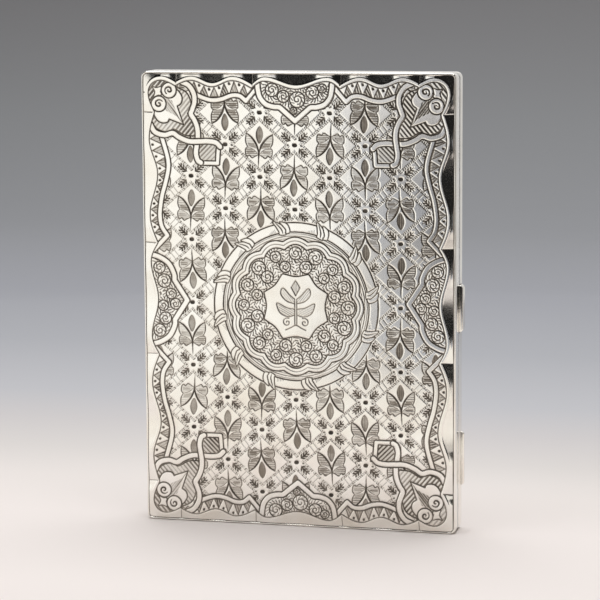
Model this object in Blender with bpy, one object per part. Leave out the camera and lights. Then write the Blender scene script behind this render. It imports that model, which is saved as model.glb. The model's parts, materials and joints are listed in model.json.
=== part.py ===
"""Engraved silver card case in book form: two shallow trays hinged along one long edge, with a push-button catch
on the other, a gilt inner bezel and a silk-lined inside.

Frame: metres, +Z up. The case stands closed on a short edge, with z = 0 at its foot, its front towards -Y, its hinge
along the -X edge and its push button on the +X edge. x = 0 and y = 0 are the middle of the case.
Lengths below are in millimetres, and MM turns them into metres where a mesh is made.
"""

import math

import bmesh
import bpy
from mathutils import Matrix, Vector

MM = 0.001

# Case
CASE_WIDTH = 71.5
CASE_HEIGHT = 102.0
CASE_DEPTH = 8.0
HALF_WIDTH = CASE_WIDTH / 2
HALF_HEIGHT = CASE_HEIGHT / 2
HALF_DEPTH = CASE_DEPTH / 2
WALL = 0.7
FLOOR_Y = HALF_DEPTH - 0.7
PARTING_GAP = 0.05
SOLDER_GAP = 0.05
EDGE_CHAMFER = 0.35
RIM_Y = HALF_DEPTH - 0.35
CASE_CORNER = 1.7
INNER_X = HALF_WIDTH - WALL

# Raised field of each face: its lobed edge as (distance from the corner, inset from the rim, kind of turn).
FIELD_CORNER_INSET = 1.15
FIELD_CORNER_RADIUS = 3.5
FIELD_START = FIELD_CORNER_INSET + FIELD_CORNER_RADIUS
SHORT_SIDE_KNOTS = (
    (FIELD_START, FIELD_CORNER_INSET, "crest"),
    (8.1, 2.4, "cusp"),
    (11.8, 1.15, "crest"),
    (16.6, 2.55, "dip"),
    (21.2, 1.15, "crest"),
    (25.7, 2.8, "cusp"),
    (28.6, 1.2, "crest"),
    (HALF_WIDTH, 2.9, "dip"),
)
LONG_SIDE_KNOTS = (
    (FIELD_START, FIELD_CORNER_INSET, "crest"),
    (9.0, 2.6, "cusp"),
    (15.0, 1.25, "crest"),
    (22.8, 3.1, "dip"),
    (32.0, 1.2, "crest"),
    (38.3, 3.0, "cusp"),
    (42.6, 1.3, "crest"),
    (HALF_HEIGHT, 2.9, "dip"),
)
STEPS_PER_KNOT = 3
CORNER_STEPS = 5

# Hinge: chenier knuckles on one pin, in a groove cut in both trays' edges
HINGE_X = -HALF_WIDTH - 0.1
KNUCKLE_RADIUS = 0.75
KNUCKLE_BORE = 0.35
PIN_RADIUS = 0.3
GROOVE_RADIUS = 0.85
HINGE_LENGTH = 94.0
KNUCKLE_COUNT = 7
KNUCKLE_CLEARANCE = 0.15
HINGE_LOW = (CASE_HEIGHT - HINGE_LENGTH) / 2
ROUND_STEPS = 20

# Inner bezel: a gilt strip soldered inside the back tray, that the front tray closes over
BEZEL_CLEARANCE = 0.12
BEZEL_THICKNESS = 0.45
BEZEL_OUTER = WALL + BEZEL_CLEARANCE
BEZEL_OUTER_X = HALF_WIDTH - BEZEL_OUTER
BEZEL_INNER_X = BEZEL_OUTER_X - BEZEL_THICKNESS
BEZEL_FRONT_Y = -1.3
BEZEL_BACK_Y = FLOOR_Y - 0.1
BEZEL_END_X = -30.0
BEZEL_CORNER = 0.9

# Push button and catch
BUTTON_Z = 50.0
BUTTON_HALF_LENGTH = 5.25
BUTTON_PROUD = 0.85
BUTTON_Y = (0.25, 2.65)
BUTTON_CORNER = 0.9
BUTTON_TRAVEL_ROOM = 0.15
FLANGE_HALF_LENGTH = 6.5
FLANGE_Y = (0.15, 2.75)
NOTCH_HALF_LENGTH = 7.2
NOTCH_DEEP_Y = 2.85
HOOK_HALF_WIDTH = 2.0
HOOK_ARM_X = (33.95, 34.25)
HOOK_NOSE_X = 34.43
HOOK_END_Y = -1.8
HOOK_NOSE_Y = -1.35
HOOK_STEP_Y = -0.25
KEEPER_X = 34.55
KEEPER_Y = (-1.25, -0.35)
KEEPER_HALF_WIDTH = 2.5
SPRING_THICKNESS = 0.4
SPRING_Y = (0.45, 2.65)
SPRING_Z = (12.0, 56.0)
RIVET_Z = (15.5, 21.5)
RIVET_RADIUS = 0.5
RIVET_HEAD_RADIUS = 0.85
RIVET_HEAD_THICKNESS = 0.3
RIVET_STEPS = 14

# Thumb lip: a low ridge soldered low on the back tray's opening edge, to open the case by
LIP_PROUD = 0.75
LIP_Y = (2.5, 3.3)
LIP_Z = (10.0, 22.0)
LIP_CORNER = 0.6

# Linings, ribbon and slip pocket
LINING_X = (-34.5, 33.7)
LINING_INSET_Z = 1.7
LINING_THICKNESS = 0.5
LINING_CORNER = 1.5
LINING_FACE_Y = FLOOR_Y - SOLDER_GAP - LINING_THICKNESS
BAND_X = (-31.5, 31.5)
BAND_Z = (44.0, 58.0)
BAND_THICKNESS = 0.2
BAND_FACE_Y = 2.25
BAND_END_WIDTH = 1.2
POCKET_X = (-33.2, 32.4)
POCKET_Z = (3.2, 63.0)
POCKET_FACE_Y = 2.15
POCKET_SHEET = 0.25
POCKET_SEAM = 1.0
POCKET_MOUTH_DIP = 7.0
POCKET_MOUTH_STEPS = 16


def clear_scene():
    """Removes everything the scene holds at the start."""
    for obj in list(bpy.data.objects):
        bpy.data.objects.remove(obj)


def make_material(name, colour, roughness, metallic):
    """A Principled BSDF finish."""
    material = bpy.data.materials.new(name)
    material.use_nodes = True
    shader = material.node_tree.nodes["Principled BSDF"]
    shader.inputs["Base Color"].default_value = (*colour, 1.0)
    shader.inputs["Roughness"].default_value = roughness
    shader.inputs["Metallic"].default_value = metallic
    return material


def make_empty(name, x, y, z):
    """A parent for the pieces of one moving body, on its joint's axis."""
    empty = bpy.data.objects.new(name, None)
    empty.location = (x * MM, y * MM, z * MM)
    bpy.context.scene.collection.objects.link(empty)
    return empty


def make_object(name, bm, material, parent):
    """Turns a bmesh in case coordinates into an object under its body's empty."""
    bmesh.ops.recalc_face_normals(bm, faces=bm.faces)
    mesh = bpy.data.meshes.new(name)
    bm.to_mesh(mesh)
    bm.free()
    obj = bpy.data.objects.new(name, mesh)
    bpy.context.scene.collection.objects.link(obj)
    if material:
        mesh.materials.append(material)
    if parent:
        mesh.transform(Matrix.Translation(-parent.location))
        obj.parent = parent
    return obj


def smooth(obj, angle=40):
    """Shades round surfaces smooth and keeps edges over the angle sharp."""
    obj.data.shade_smooth()
    obj.data.set_sharp_from_angle(angle=math.radians(angle))


def cut(obj, cutter, name):
    """Subtracts a hidden cutter from an object."""
    cutter.hide_render = True
    cutter.display_type = "WIRE"
    modifier = obj.modifiers.new(name, "BOOLEAN")
    modifier.operation = "DIFFERENCE"
    modifier.object = cutter


def prism(outline, low, high, axis):
    """A closed bmesh: a flat outline carried from low to high along an axis.

    The outline's pairs are (x, y) for axis Z, (x, z) for axis Y and (y, z) for axis X."""
    bm = bmesh.new()
    ends = []
    for level in (low, high):
        ring = []
        for a, b in outline:
            place = {"Z": (a, b, level), "Y": (a, level, b), "X": (level, a, b)}[axis]
            ring.append(bm.verts.new(Vector(place) * MM))
        ends.append(ring)
    bm.faces.new(ends[0])
    bm.faces.new(list(reversed(ends[1])))
    count = len(outline)
    for i in range(count):
        j = (i + 1) % count
        bm.faces.new((ends[0][i], ends[0][j], ends[1][j], ends[1][i]))
    return bm


def rectangle(a, b, corner=0.0, steps=4):
    """Corners of the rectangle from a[0] to a[1] and b[0] to b[1], rounded by arcs if corner is given."""
    if corner == 0.0:
        return [(a[0], b[0]), (a[1], b[0]), (a[1], b[1]), (a[0], b[1])]
    points = []
    centres = ((a[1], b[0], -90), (a[1], b[1], 0), (a[0], b[1], 90), (a[0], b[0], 180))
    for a_edge, b_edge, start in centres:
        a_centre = a_edge - math.copysign(corner, a_edge - sum(a) / 2)
        b_centre = b_edge - math.copysign(corner, b_edge - sum(b) / 2)
        for i in range(steps + 1):
            turn = math.radians(start + 90 * i / steps)
            points.append((a_centre + corner * math.cos(turn), b_centre + corner * math.sin(turn)))
    return points


def circle(a, b, radius, steps):
    """Points of a circle about (a, b)."""
    turns = [2 * math.pi * i / steps for i in range(steps)]
    return [(a + radius * math.cos(t), b + radius * math.sin(t)) for t in turns]


def lobed_inset(distance, knots):
    """How far the raised field's edge stands in from the rim, at a distance from the case's corner.

    Between two knots it follows half a cosine wave, or a quarter wave into or out of a cusp."""
    for (near, near_inset, near_kind), (far, far_inset, far_kind) in zip(knots, knots[1:]):
        if distance > far + 1e-9:
            continue
        share = (distance - near) / (far - near)
        if far_kind == "cusp":
            share = 1 - math.cos(math.pi / 2 * share)
        elif near_kind == "cusp":
            share = math.sin(math.pi / 2 * share)
        else:
            share = (1 - math.cos(math.pi * share)) / 2
        return near_inset + (far_inset - near_inset) * share
    return knots[-1][1]


def stations(knots):
    """Distances from the corner at which half a side is sampled, ending at its middle."""
    found = []
    for (near, *_), (far, *_) in zip(knots, knots[1:]):
        found += [near + (far - near) * i / STEPS_PER_KNOT for i in range(STEPS_PER_KNOT)]
    return found + [knots[-1][0]]


def face_loop(inset, radius, lobed=False):
    """A closed line round the case as (x, z) points, with the same count of points for every inset.

    It runs up the right side, left along the top, down the left side and right along the bottom. A lobed line
    swings in and out along each side."""
    points = []
    for turn in range(4):
        upright = turn % 2 == 0
        along = HALF_HEIGHT if upright else HALF_WIDTH
        across = HALF_WIDTH if upright else HALF_HEIGHT
        knots = LONG_SIDE_KNOTS if upright else SHORT_SIDE_KNOTS
        start = inset + radius
        half_side = []
        for distance in stations(knots):
            scaled = start + (distance - FIELD_START) * (along - start) / (along - FIELD_START)
            half_side.append((scaled, lobed_inset(distance, knots) if lobed else inset))
        local = [(across - inward, scaled - along) for scaled, inward in half_side]
        local += [(u, -v) for u, v in reversed(local[:-1])]
        centre_u, centre_v = across - start, along - start
        for i in range(1, CORNER_STEPS):
            angle = math.pi / 2 * i / CORNER_STEPS
            local.append((centre_u + radius * math.cos(angle), centre_v + radius * math.sin(angle)))
        quarter = math.pi / 2 * turn
        cos, sin = round(math.cos(quarter)), round(math.sin(quarter))
        points += [(cos * u - sin * v, sin * u + cos * v + HALF_HEIGHT) for u, v in local]
    return points


def make_cover(name, side, material, parent):
    """One tray: a face with a raised lobed field, a sloping border, a chamfered rim and four walls.

    side is -1 for the front tray and 1 for the back tray."""
    profile = (
        (face_loop(WALL, CASE_CORNER - WALL), FLOOR_Y),
        (face_loop(WALL, CASE_CORNER - WALL), PARTING_GAP),
        (face_loop(0.0, CASE_CORNER), PARTING_GAP),
        (face_loop(0.0, CASE_CORNER), RIM_Y - EDGE_CHAMFER),
        (face_loop(EDGE_CHAMFER, CASE_CORNER - EDGE_CHAMFER), RIM_Y),
        (face_loop(FIELD_CORNER_INSET, FIELD_CORNER_RADIUS, lobed=True), HALF_DEPTH),
    )
    bm = bmesh.new()
    rings = []
    for points, depth in profile:
        rings.append([bm.verts.new(Vector((x, side * depth, z)) * MM) for x, z in points])
    for ring, following in zip(rings, rings[1:]):
        count = len(ring)
        for i in range(count):
            j = (i + 1) % count
            bm.faces.new((ring[i], ring[j], following[j], following[i]))
    bm.faces.new(rings[0])
    bm.faces.new(rings[-1])
    cover = make_object(name, bm, material, parent)
    groove = prism(
        circle(HINGE_X, 0.0, GROOVE_RADIUS, 2 * ROUND_STEPS),
        HINGE_LOW - KNUCKLE_CLEARANCE,
        HINGE_LOW + HINGE_LENGTH + KNUCKLE_CLEARANCE,
        "Z",
    )
    cut(cover, make_object(f"{name}_hinge_groove", groove, None, parent), "hinge_groove")
    return cover


def make_knuckles(materials, front, back):
    """Seven knuckles along the hinge, the odd ones on the back tray and the even ones on the front tray."""
    length = (HINGE_LENGTH - (KNUCKLE_COUNT - 1) * KNUCKLE_CLEARANCE) / KNUCKLE_COUNT
    for i in range(KNUCKLE_COUNT):
        side, parent = ("back", back) if i % 2 == 0 else ("front", front)
        low = HINGE_LOW + i * (length + KNUCKLE_CLEARANCE)
        tube = prism(circle(HINGE_X, 0.0, KNUCKLE_RADIUS, ROUND_STEPS), low, low + length, "Z")
        name = f"hinge_knuckle_{side}_{i // 2 + 1}"
        knuckle = make_object(name, tube, materials["silver"], parent)
        bore = prism(circle(HINGE_X, 0.0, KNUCKLE_BORE, ROUND_STEPS), low - 1, low + length + 1, "Z")
        cut(knuckle, make_object(f"{name}_bore", bore, None, parent), "bore")
        smooth(knuckle)


def make_hinge_pin(materials, parent):
    """The wire that the knuckles turn on."""
    pin = prism(
        circle(HINGE_X, 0.0, PIN_RADIUS, ROUND_STEPS),
        HINGE_LOW + KNUCKLE_CLEARANCE,
        HINGE_LOW + HINGE_LENGTH - KNUCKLE_CLEARANCE,
        "Z",
    )
    smooth(make_object("hinge_pin", pin, materials["steel"], parent))


def bezel_path(inset, corner):
    """Half the bezel's outline as (x, z): from its lower end, round two corners, to its upper end."""
    right, low, high = HALF_WIDTH - inset, inset, CASE_HEIGHT - inset
    points = [(BEZEL_END_X, low)]
    for centre_z, start in ((low + corner, -90), (high - corner, 0)):
        for i in range(CORNER_STEPS + 1):
            turn = math.radians(start + 90 * i / CORNER_STEPS)
            points.append((right - corner + corner * math.cos(turn), centre_z + corner * math.sin(turn)))
    return points + [(BEZEL_END_X, high)]


def make_bezel(materials, parent):
    """A strip bent round three sides inside the back tray, notched for the push button and drilled for the rivets."""
    outer = bezel_path(BEZEL_OUTER, BEZEL_CORNER)
    inner = bezel_path(BEZEL_OUTER + BEZEL_THICKNESS, BEZEL_CORNER - BEZEL_THICKNESS)
    strip = prism(outer + inner[::-1], BEZEL_FRONT_Y, BEZEL_BACK_Y, "Y")
    bezel = make_object("inner_bezel", strip, materials["gilt"], parent)
    notch = prism(
        rectangle(
            (BEZEL_FRONT_Y - 1, NOTCH_DEEP_Y),
            (BUTTON_Z - NOTCH_HALF_LENGTH, BUTTON_Z + NOTCH_HALF_LENGTH),
        ),
        BEZEL_INNER_X - 1,
        BEZEL_OUTER_X + 1,
        "X",
    )
    cut(bezel, make_object("bezel_notch", notch, None, parent), "notch")
    rivet_holes(bezel, "bezel", parent)


def rivet_holes(obj, name, parent):
    """Drills a strip for the two spring rivets."""
    for i, height in enumerate(RIVET_Z):
        drill = prism(
            circle(sum(SPRING_Y) / 2, height, RIVET_RADIUS + SOLDER_GAP, RIVET_STEPS), 33.0, 36.0, "X"
        )
        cut(obj, make_object(f"{name}_rivet_hole_{i + 1}", drill, None, parent), f"rivet_hole_{i + 1}")


def make_spring(materials, parent):
    """A flat steel spring along the bezel, riveted at its lower end, with its upper end behind the button."""
    outer_x = BEZEL_INNER_X - SOLDER_GAP
    inner_x = outer_x - SPRING_THICKNESS
    strip = prism(rectangle(SPRING_Y, SPRING_Z, corner=0.8), inner_x, outer_x, "X")
    spring = make_object("catch_spring", strip, materials["steel"], parent)
    rivet_holes(spring, "spring", parent)
    head_x = inner_x - SOLDER_GAP
    for i, height in enumerate(RIVET_Z):
        rivet = bmesh.new()
        outline = (
            (head_x - RIVET_HEAD_THICKNESS, RIVET_HEAD_RADIUS * 0.6),
            (head_x - RIVET_HEAD_THICKNESS / 2, RIVET_HEAD_RADIUS),
            (head_x, RIVET_HEAD_RADIUS),
            (head_x, RIVET_RADIUS),
            (BEZEL_OUTER_X, RIVET_RADIUS),
        )
        rings = []
        for x, radius in outline:
            ring = circle(sum(SPRING_Y) / 2, height, radius, RIVET_STEPS)
            rings.append([rivet.verts.new(Vector((x, y, z)) * MM) for y, z in ring])
        for ring, following in zip(rings, rings[1:]):
            for j in range(RIVET_STEPS):
                k = (j + 1) % RIVET_STEPS
                rivet.faces.new((ring[j], ring[k], following[k], following[j]))
        rivet.faces.new(rings[0])
        rivet.faces.new(rings[-1])
        smooth(make_object(f"spring_rivet_{i + 1}", rivet, materials["steel"], parent))


def make_button(materials, parent):
    """The push button, the flange that stops it, and the hook that holds the front tray."""
    outer_x = HALF_WIDTH + BUTTON_PROUD
    inner_x = BEZEL_OUTER_X + SOLDER_GAP
    low, high = BUTTON_Z - BUTTON_HALF_LENGTH, BUTTON_Z + BUTTON_HALF_LENGTH
    outline = [(inner_x, low)]
    for centre_z, start in ((low + BUTTON_CORNER, -90), (high - BUTTON_CORNER, 0)):
        for i in range(CORNER_STEPS + 1):
            turn = math.radians(start + 90 * i / CORNER_STEPS)
            outline.append(
                (
                    outer_x - BUTTON_CORNER + BUTTON_CORNER * math.cos(turn),
                    centre_z + BUTTON_CORNER * math.sin(turn),
                )
            )
    outline.append((inner_x, high))
    smooth(make_object("push_button", prism(outline, *BUTTON_Y, "Y"), materials["silver"], parent))

    flange = prism(
        rectangle(FLANGE_Y, (BUTTON_Z - FLANGE_HALF_LENGTH, BUTTON_Z + FLANGE_HALF_LENGTH), corner=0.5),
        BEZEL_INNER_X,
        BEZEL_OUTER_X,
        "X",
    )
    make_object("button_flange", flange, materials["gilt"], parent)

    arm_in, arm_out = HOOK_ARM_X
    hook = [
        (BEZEL_OUTER_X, FLANGE_Y[0] - SOLDER_GAP),
        (BEZEL_OUTER_X, HOOK_STEP_Y),
        (arm_out, HOOK_STEP_Y),
        (arm_out, HOOK_NOSE_Y),
        (HOOK_NOSE_X, HOOK_NOSE_Y - 0.1),
        (arm_out, HOOK_END_Y),
        (arm_in, HOOK_END_Y),
        (arm_in, FLANGE_Y[0] - SOLDER_GAP),
    ]
    hook_solid = prism(hook, BUTTON_Z - HOOK_HALF_WIDTH, BUTTON_Z + HOOK_HALF_WIDTH, "Z")
    make_object("catch_hook", hook_solid, materials["steel"], parent)


def cut_button_notch(cover, parent):
    """Opens the back tray's right wall for the push button, through to the parting edge."""
    notch = prism(
        rectangle(
            (-1.0, BUTTON_Y[1] + BUTTON_TRAVEL_ROOM),
            (
                BUTTON_Z - BUTTON_HALF_LENGTH - BUTTON_TRAVEL_ROOM,
                BUTTON_Z + BUTTON_HALF_LENGTH + BUTTON_TRAVEL_ROOM,
            ),
        ),
        INNER_X - 0.5,
        HALF_WIDTH + 0.5,
        "X",
    )
    cut(cover, make_object("button_notch", notch, None, parent), "button_notch")


def make_lip(materials, parent):
    """The thumb lip: a low ridge with round ends on the back tray's opening edge."""
    inner_x, outer_x = HALF_WIDTH + SOLDER_GAP, HALF_WIDTH + LIP_PROUD
    outline = [(inner_x, LIP_Z[0])]
    for centre_z, start in ((LIP_Z[0] + LIP_CORNER, -90), (LIP_Z[1] - LIP_CORNER, 0)):
        for i in range(CORNER_STEPS + 1):
            turn = math.radians(start + 90 * i / CORNER_STEPS)
            outline.append(
                (
                    outer_x - LIP_CORNER + LIP_CORNER * math.cos(turn),
                    centre_z + LIP_CORNER * math.sin(turn),
                )
            )
    outline.append((inner_x, LIP_Z[1]))
    smooth(make_object("thumb_lip", prism(outline, *LIP_Y, "Y"), materials["silver"], parent))


def make_keeper(materials, parent):
    """The lug inside the front tray's right wall that the hook holds, with a lead-in slope."""
    low, high = KEEPER_Y
    outer_x = INNER_X - SOLDER_GAP
    outline = [(outer_x, low), (outer_x, high), (KEEPER_X, high - 0.3), (KEEPER_X, low + 0.2)]
    lug = prism(outline, BUTTON_Z - KEEPER_HALF_WIDTH, BUTTON_Z + KEEPER_HALF_WIDTH, "Z")
    make_object("catch_keeper", lug, materials["gilt"], parent)


def make_lining(name, side, materials, parent):
    """A silk-covered board glued to a tray's floor."""
    outline = rectangle(LINING_X, (LINING_INSET_Z, CASE_HEIGHT - LINING_INSET_Z), corner=LINING_CORNER)
    near, far = side * LINING_FACE_Y, side * (LINING_FACE_Y + LINING_THICKNESS)
    make_object(name, prism(outline, min(near, far), max(near, far), "Y"), materials["silk"], parent)


def make_band(materials, parent):
    """The ribbon across the back lining that the cards go under, sewn down at both ends."""
    sewn_y = LINING_FACE_Y - SOLDER_GAP
    under_y = BAND_FACE_Y + BAND_THICKNESS
    left, right = BAND_X
    outline = [
        (left, sewn_y),
        (left, BAND_FACE_Y),
        (right, BAND_FACE_Y),
        (right, sewn_y),
        (right - BAND_END_WIDTH, sewn_y),
        (right - BAND_END_WIDTH, under_y),
        (left + BAND_END_WIDTH, under_y),
        (left + BAND_END_WIDTH, sewn_y),
    ]
    make_object("card_band", prism(outline, *BAND_Z, "Z"), materials["ribbon"], parent)


def pocket_outline(seam):
    """The slip pocket's outline as (x, z), in by a seam, with a mouth that dips in the middle as a sine."""
    left, right = POCKET_X[0] + seam, POCKET_X[1] - seam
    points = [(left, POCKET_Z[0] + seam), (right, POCKET_Z[0] + seam)]
    for i in range(POCKET_MOUTH_STEPS + 1):
        share = i / POCKET_MOUTH_STEPS
        dip = POCKET_MOUTH_DIP * math.sin(math.pi * share)
        points.append((right + (left - right) * share, POCKET_Z[1] - dip + seam))
    return points


def make_pocket(materials, parent):
    """A flat slip pocket on the front lining, sewn along three sides and open at its dipped mouth."""
    seam_y = LINING_FACE_Y - SOLDER_GAP
    sheet = prism(pocket_outline(0.0), -seam_y, -POCKET_FACE_Y, "Y")
    pocket = make_object("slip_pocket", sheet, materials["silk"], parent)
    inside_y = POCKET_FACE_Y + POCKET_SHEET
    hollow = prism(pocket_outline(POCKET_SEAM), -seam_y - 0.5, -inside_y, "Y")
    cut(pocket, make_object("slip_pocket_hollow", hollow, None, parent), "hollow")


def main():
    """Builds the case: the back tray stands still, the front tray swings, and the button slides."""
    clear_scene()
    materials = {
        "silver": make_material("silver", (0.90, 0.88, 0.84), 0.18, 1.0),
        "gilt": make_material("gilt", (0.86, 0.66, 0.33), 0.25, 1.0),
        "steel": make_material("steel", (0.55, 0.56, 0.58), 0.35, 1.0),
        "silk": make_material("silk", (0.05, 0.09, 0.28), 0.55, 0.0),
        "ribbon": make_material("ribbon", (0.07, 0.12, 0.36), 0.5, 0.0),
    }
    back = make_empty("case_back", 0, 0, 0)
    front = make_empty("case_front", HINGE_X, 0, HALF_HEIGHT)
    button = make_empty("button", HALF_WIDTH, sum(BUTTON_Y) / 2, BUTTON_Z)

    make_cover("front_cover", -1, materials["silver"], front)
    cut_button_notch(make_cover("back_cover", 1, materials["silver"], back), back)
    make_knuckles(materials, front, back)
    make_hinge_pin(materials, back)
    make_bezel(materials, back)
    make_spring(materials, back)
    make_lip(materials, back)
    make_button(materials, button)
    make_keeper(materials, front)
    make_lining("front_lining", -1, materials, front)
    make_lining("back_lining", 1, materials, back)
    make_band(materials, back)
    make_pocket(materials, front)


main()
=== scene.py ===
"""Engraved silver card case: the visual model, its finishes, its stage and its camera.

Frame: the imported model's, in metres, with +Z up, the case standing on a short edge and its front towards -Y.
The design's own sizes are in millimetres, and MM turns them into metres where a mesh is made.
"""

from __future__ import annotations

import json
import logging
import math
from collections.abc import Iterable
from dataclasses import dataclass
from enum import Enum

import bpy
import numpy as np
from mathutils import Matrix, Vector

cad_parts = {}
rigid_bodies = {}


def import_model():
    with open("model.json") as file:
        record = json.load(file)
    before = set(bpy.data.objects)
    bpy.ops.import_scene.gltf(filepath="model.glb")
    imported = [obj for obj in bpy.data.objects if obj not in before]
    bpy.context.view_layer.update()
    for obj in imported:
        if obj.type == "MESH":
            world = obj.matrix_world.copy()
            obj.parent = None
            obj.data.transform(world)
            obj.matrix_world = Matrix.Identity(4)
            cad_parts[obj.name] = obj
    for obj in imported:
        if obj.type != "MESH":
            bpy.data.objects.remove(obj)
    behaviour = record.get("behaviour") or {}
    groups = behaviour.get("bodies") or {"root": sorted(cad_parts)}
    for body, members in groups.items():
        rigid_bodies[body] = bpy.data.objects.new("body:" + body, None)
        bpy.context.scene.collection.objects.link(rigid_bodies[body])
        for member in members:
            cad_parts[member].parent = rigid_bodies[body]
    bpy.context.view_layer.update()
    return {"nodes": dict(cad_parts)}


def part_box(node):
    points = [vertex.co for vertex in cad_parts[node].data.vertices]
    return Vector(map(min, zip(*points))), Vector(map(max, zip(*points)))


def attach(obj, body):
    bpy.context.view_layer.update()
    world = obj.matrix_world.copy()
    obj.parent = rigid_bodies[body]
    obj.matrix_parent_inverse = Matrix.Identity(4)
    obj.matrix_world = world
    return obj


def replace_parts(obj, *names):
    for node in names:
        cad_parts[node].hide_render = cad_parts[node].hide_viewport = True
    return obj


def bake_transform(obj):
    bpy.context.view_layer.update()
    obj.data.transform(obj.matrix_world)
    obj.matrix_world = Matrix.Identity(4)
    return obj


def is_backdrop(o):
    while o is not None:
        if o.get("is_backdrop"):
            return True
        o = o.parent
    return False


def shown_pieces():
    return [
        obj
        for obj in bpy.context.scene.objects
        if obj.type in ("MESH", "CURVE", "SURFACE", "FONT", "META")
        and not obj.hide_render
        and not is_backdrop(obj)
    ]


logging.basicConfig(level=logging.INFO, format="%(message)s")
LOG = logging.getLogger("card_case")

MM = 0.001
CASE_WIDTH = 71.5
CASE_HEIGHT = 102.0
CASE_DEPTH = 8.0
HALF_W = CASE_WIDTH / 2
HALF_H = CASE_HEIGHT / 2
HALF_D = CASE_DEPTH / 2


# ---- lines and shapes


def curve(points: list[tuple[float, float]], closed: bool = False, steps: int = 8) -> np.ndarray:
    """Runs a smooth line through points.

    Catmull-Rom: between two points the line is the cubic whose slope at each is half the step from the point
    before it to the point after it.

    Args:
        points: The points in order, in mm.
        closed: Whether the line returns to its first point.
        steps: How many short straight lines stand for each stretch.

    Returns:
        The line's points, one row each.
    """
    p = np.asarray(points, float)
    ends = (p[-1:], p[:2]) if closed else (2 * p[:1] - p[1:2], 2 * p[-1:] - p[-2:-1])
    q = np.concatenate([ends[0], p, ends[1]])
    t = np.arange(steps)[:, None, None] / steps
    a, b, c, d = q[:-3], q[1:-2], q[2:-1], q[3:]
    line = 0.5 * (2 * b + (c - a) * t + (2 * a - 5 * b + 4 * c - d) * t**2 + (3 * b - a - 3 * c + d) * t**3)
    line = line.transpose(1, 0, 2).reshape(-1, 2)
    return np.concatenate([line, line[:1] if closed else p[-1:]])


def ring(centre: tuple[float, float], radius: float, steps: int = 24) -> np.ndarray:
    """A closed circle's points."""
    turn = np.linspace(0, 2 * np.pi, steps + 1)
    return np.array(centre) + radius * np.stack([np.cos(turn), np.sin(turn)], 1)


def spiral(centre: tuple[float, float], radius: float, turns: float, start: float, hand: int) -> np.ndarray:
    """A spiral whose radius falls evenly with its angle, from its outer end inwards.

    Args:
        centre: Its middle, in mm.
        radius: Its outer radius, in mm.
        turns: How many turns it makes.
        start: The angle of its outer end, in radians.
        hand: 1 for anticlockwise, -1 for clockwise.

    Returns:
        Its points.
    """
    share = np.linspace(0, 1, int(14 * turns) + 2)
    angle = start + hand * 2 * np.pi * turns * share
    reach = radius * (1 - 0.88 * share)
    return np.array(centre) + reach[:, None] * np.stack([np.cos(angle), np.sin(angle)], 1)


@dataclass(frozen=True)
class Place:
    """Where a motif stands on the face: its origin, its turn in radians, and its flip or squeeze."""

    x: float = 0.0
    z: float = 0.0
    turn: float = 0.0
    flip_x: float = 1
    flip_z: float = 1

    def __call__(self, points: np.ndarray | list) -> np.ndarray:
        """Carries points from the motif's own coordinates to the face's: flip, then turn, then move.

        Args:
            points: The points, one row each.

        Returns:
            The carried points.
        """
        p = np.asarray(points, float) * (self.flip_x, self.flip_z)
        c, s = math.cos(self.turn), math.sin(self.turn)
        return np.stack([self.x + c * p[:, 0] - s * p[:, 1], self.z + s * p[:, 0] + c * p[:, 1]], 1)


@dataclass(frozen=True)
class Graver:
    """One of the engraver's tools: its cut's width and depth in mm, and its darkness from 0 to 1."""

    width: float
    depth: float
    tone: float


BOLD = Graver(0.27, 0.085, 0.94)
LINE = Graver(0.22, 0.06, 0.88)
FINE = Graver(0.18, 0.04, 0.62)
HAIR = Graver(0.16, 0.025, 0.42)
FAINT = Graver(0.16, 0.02, 0.3)
LEAF = Graver(0.46, 0.09, 0.92)


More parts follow.
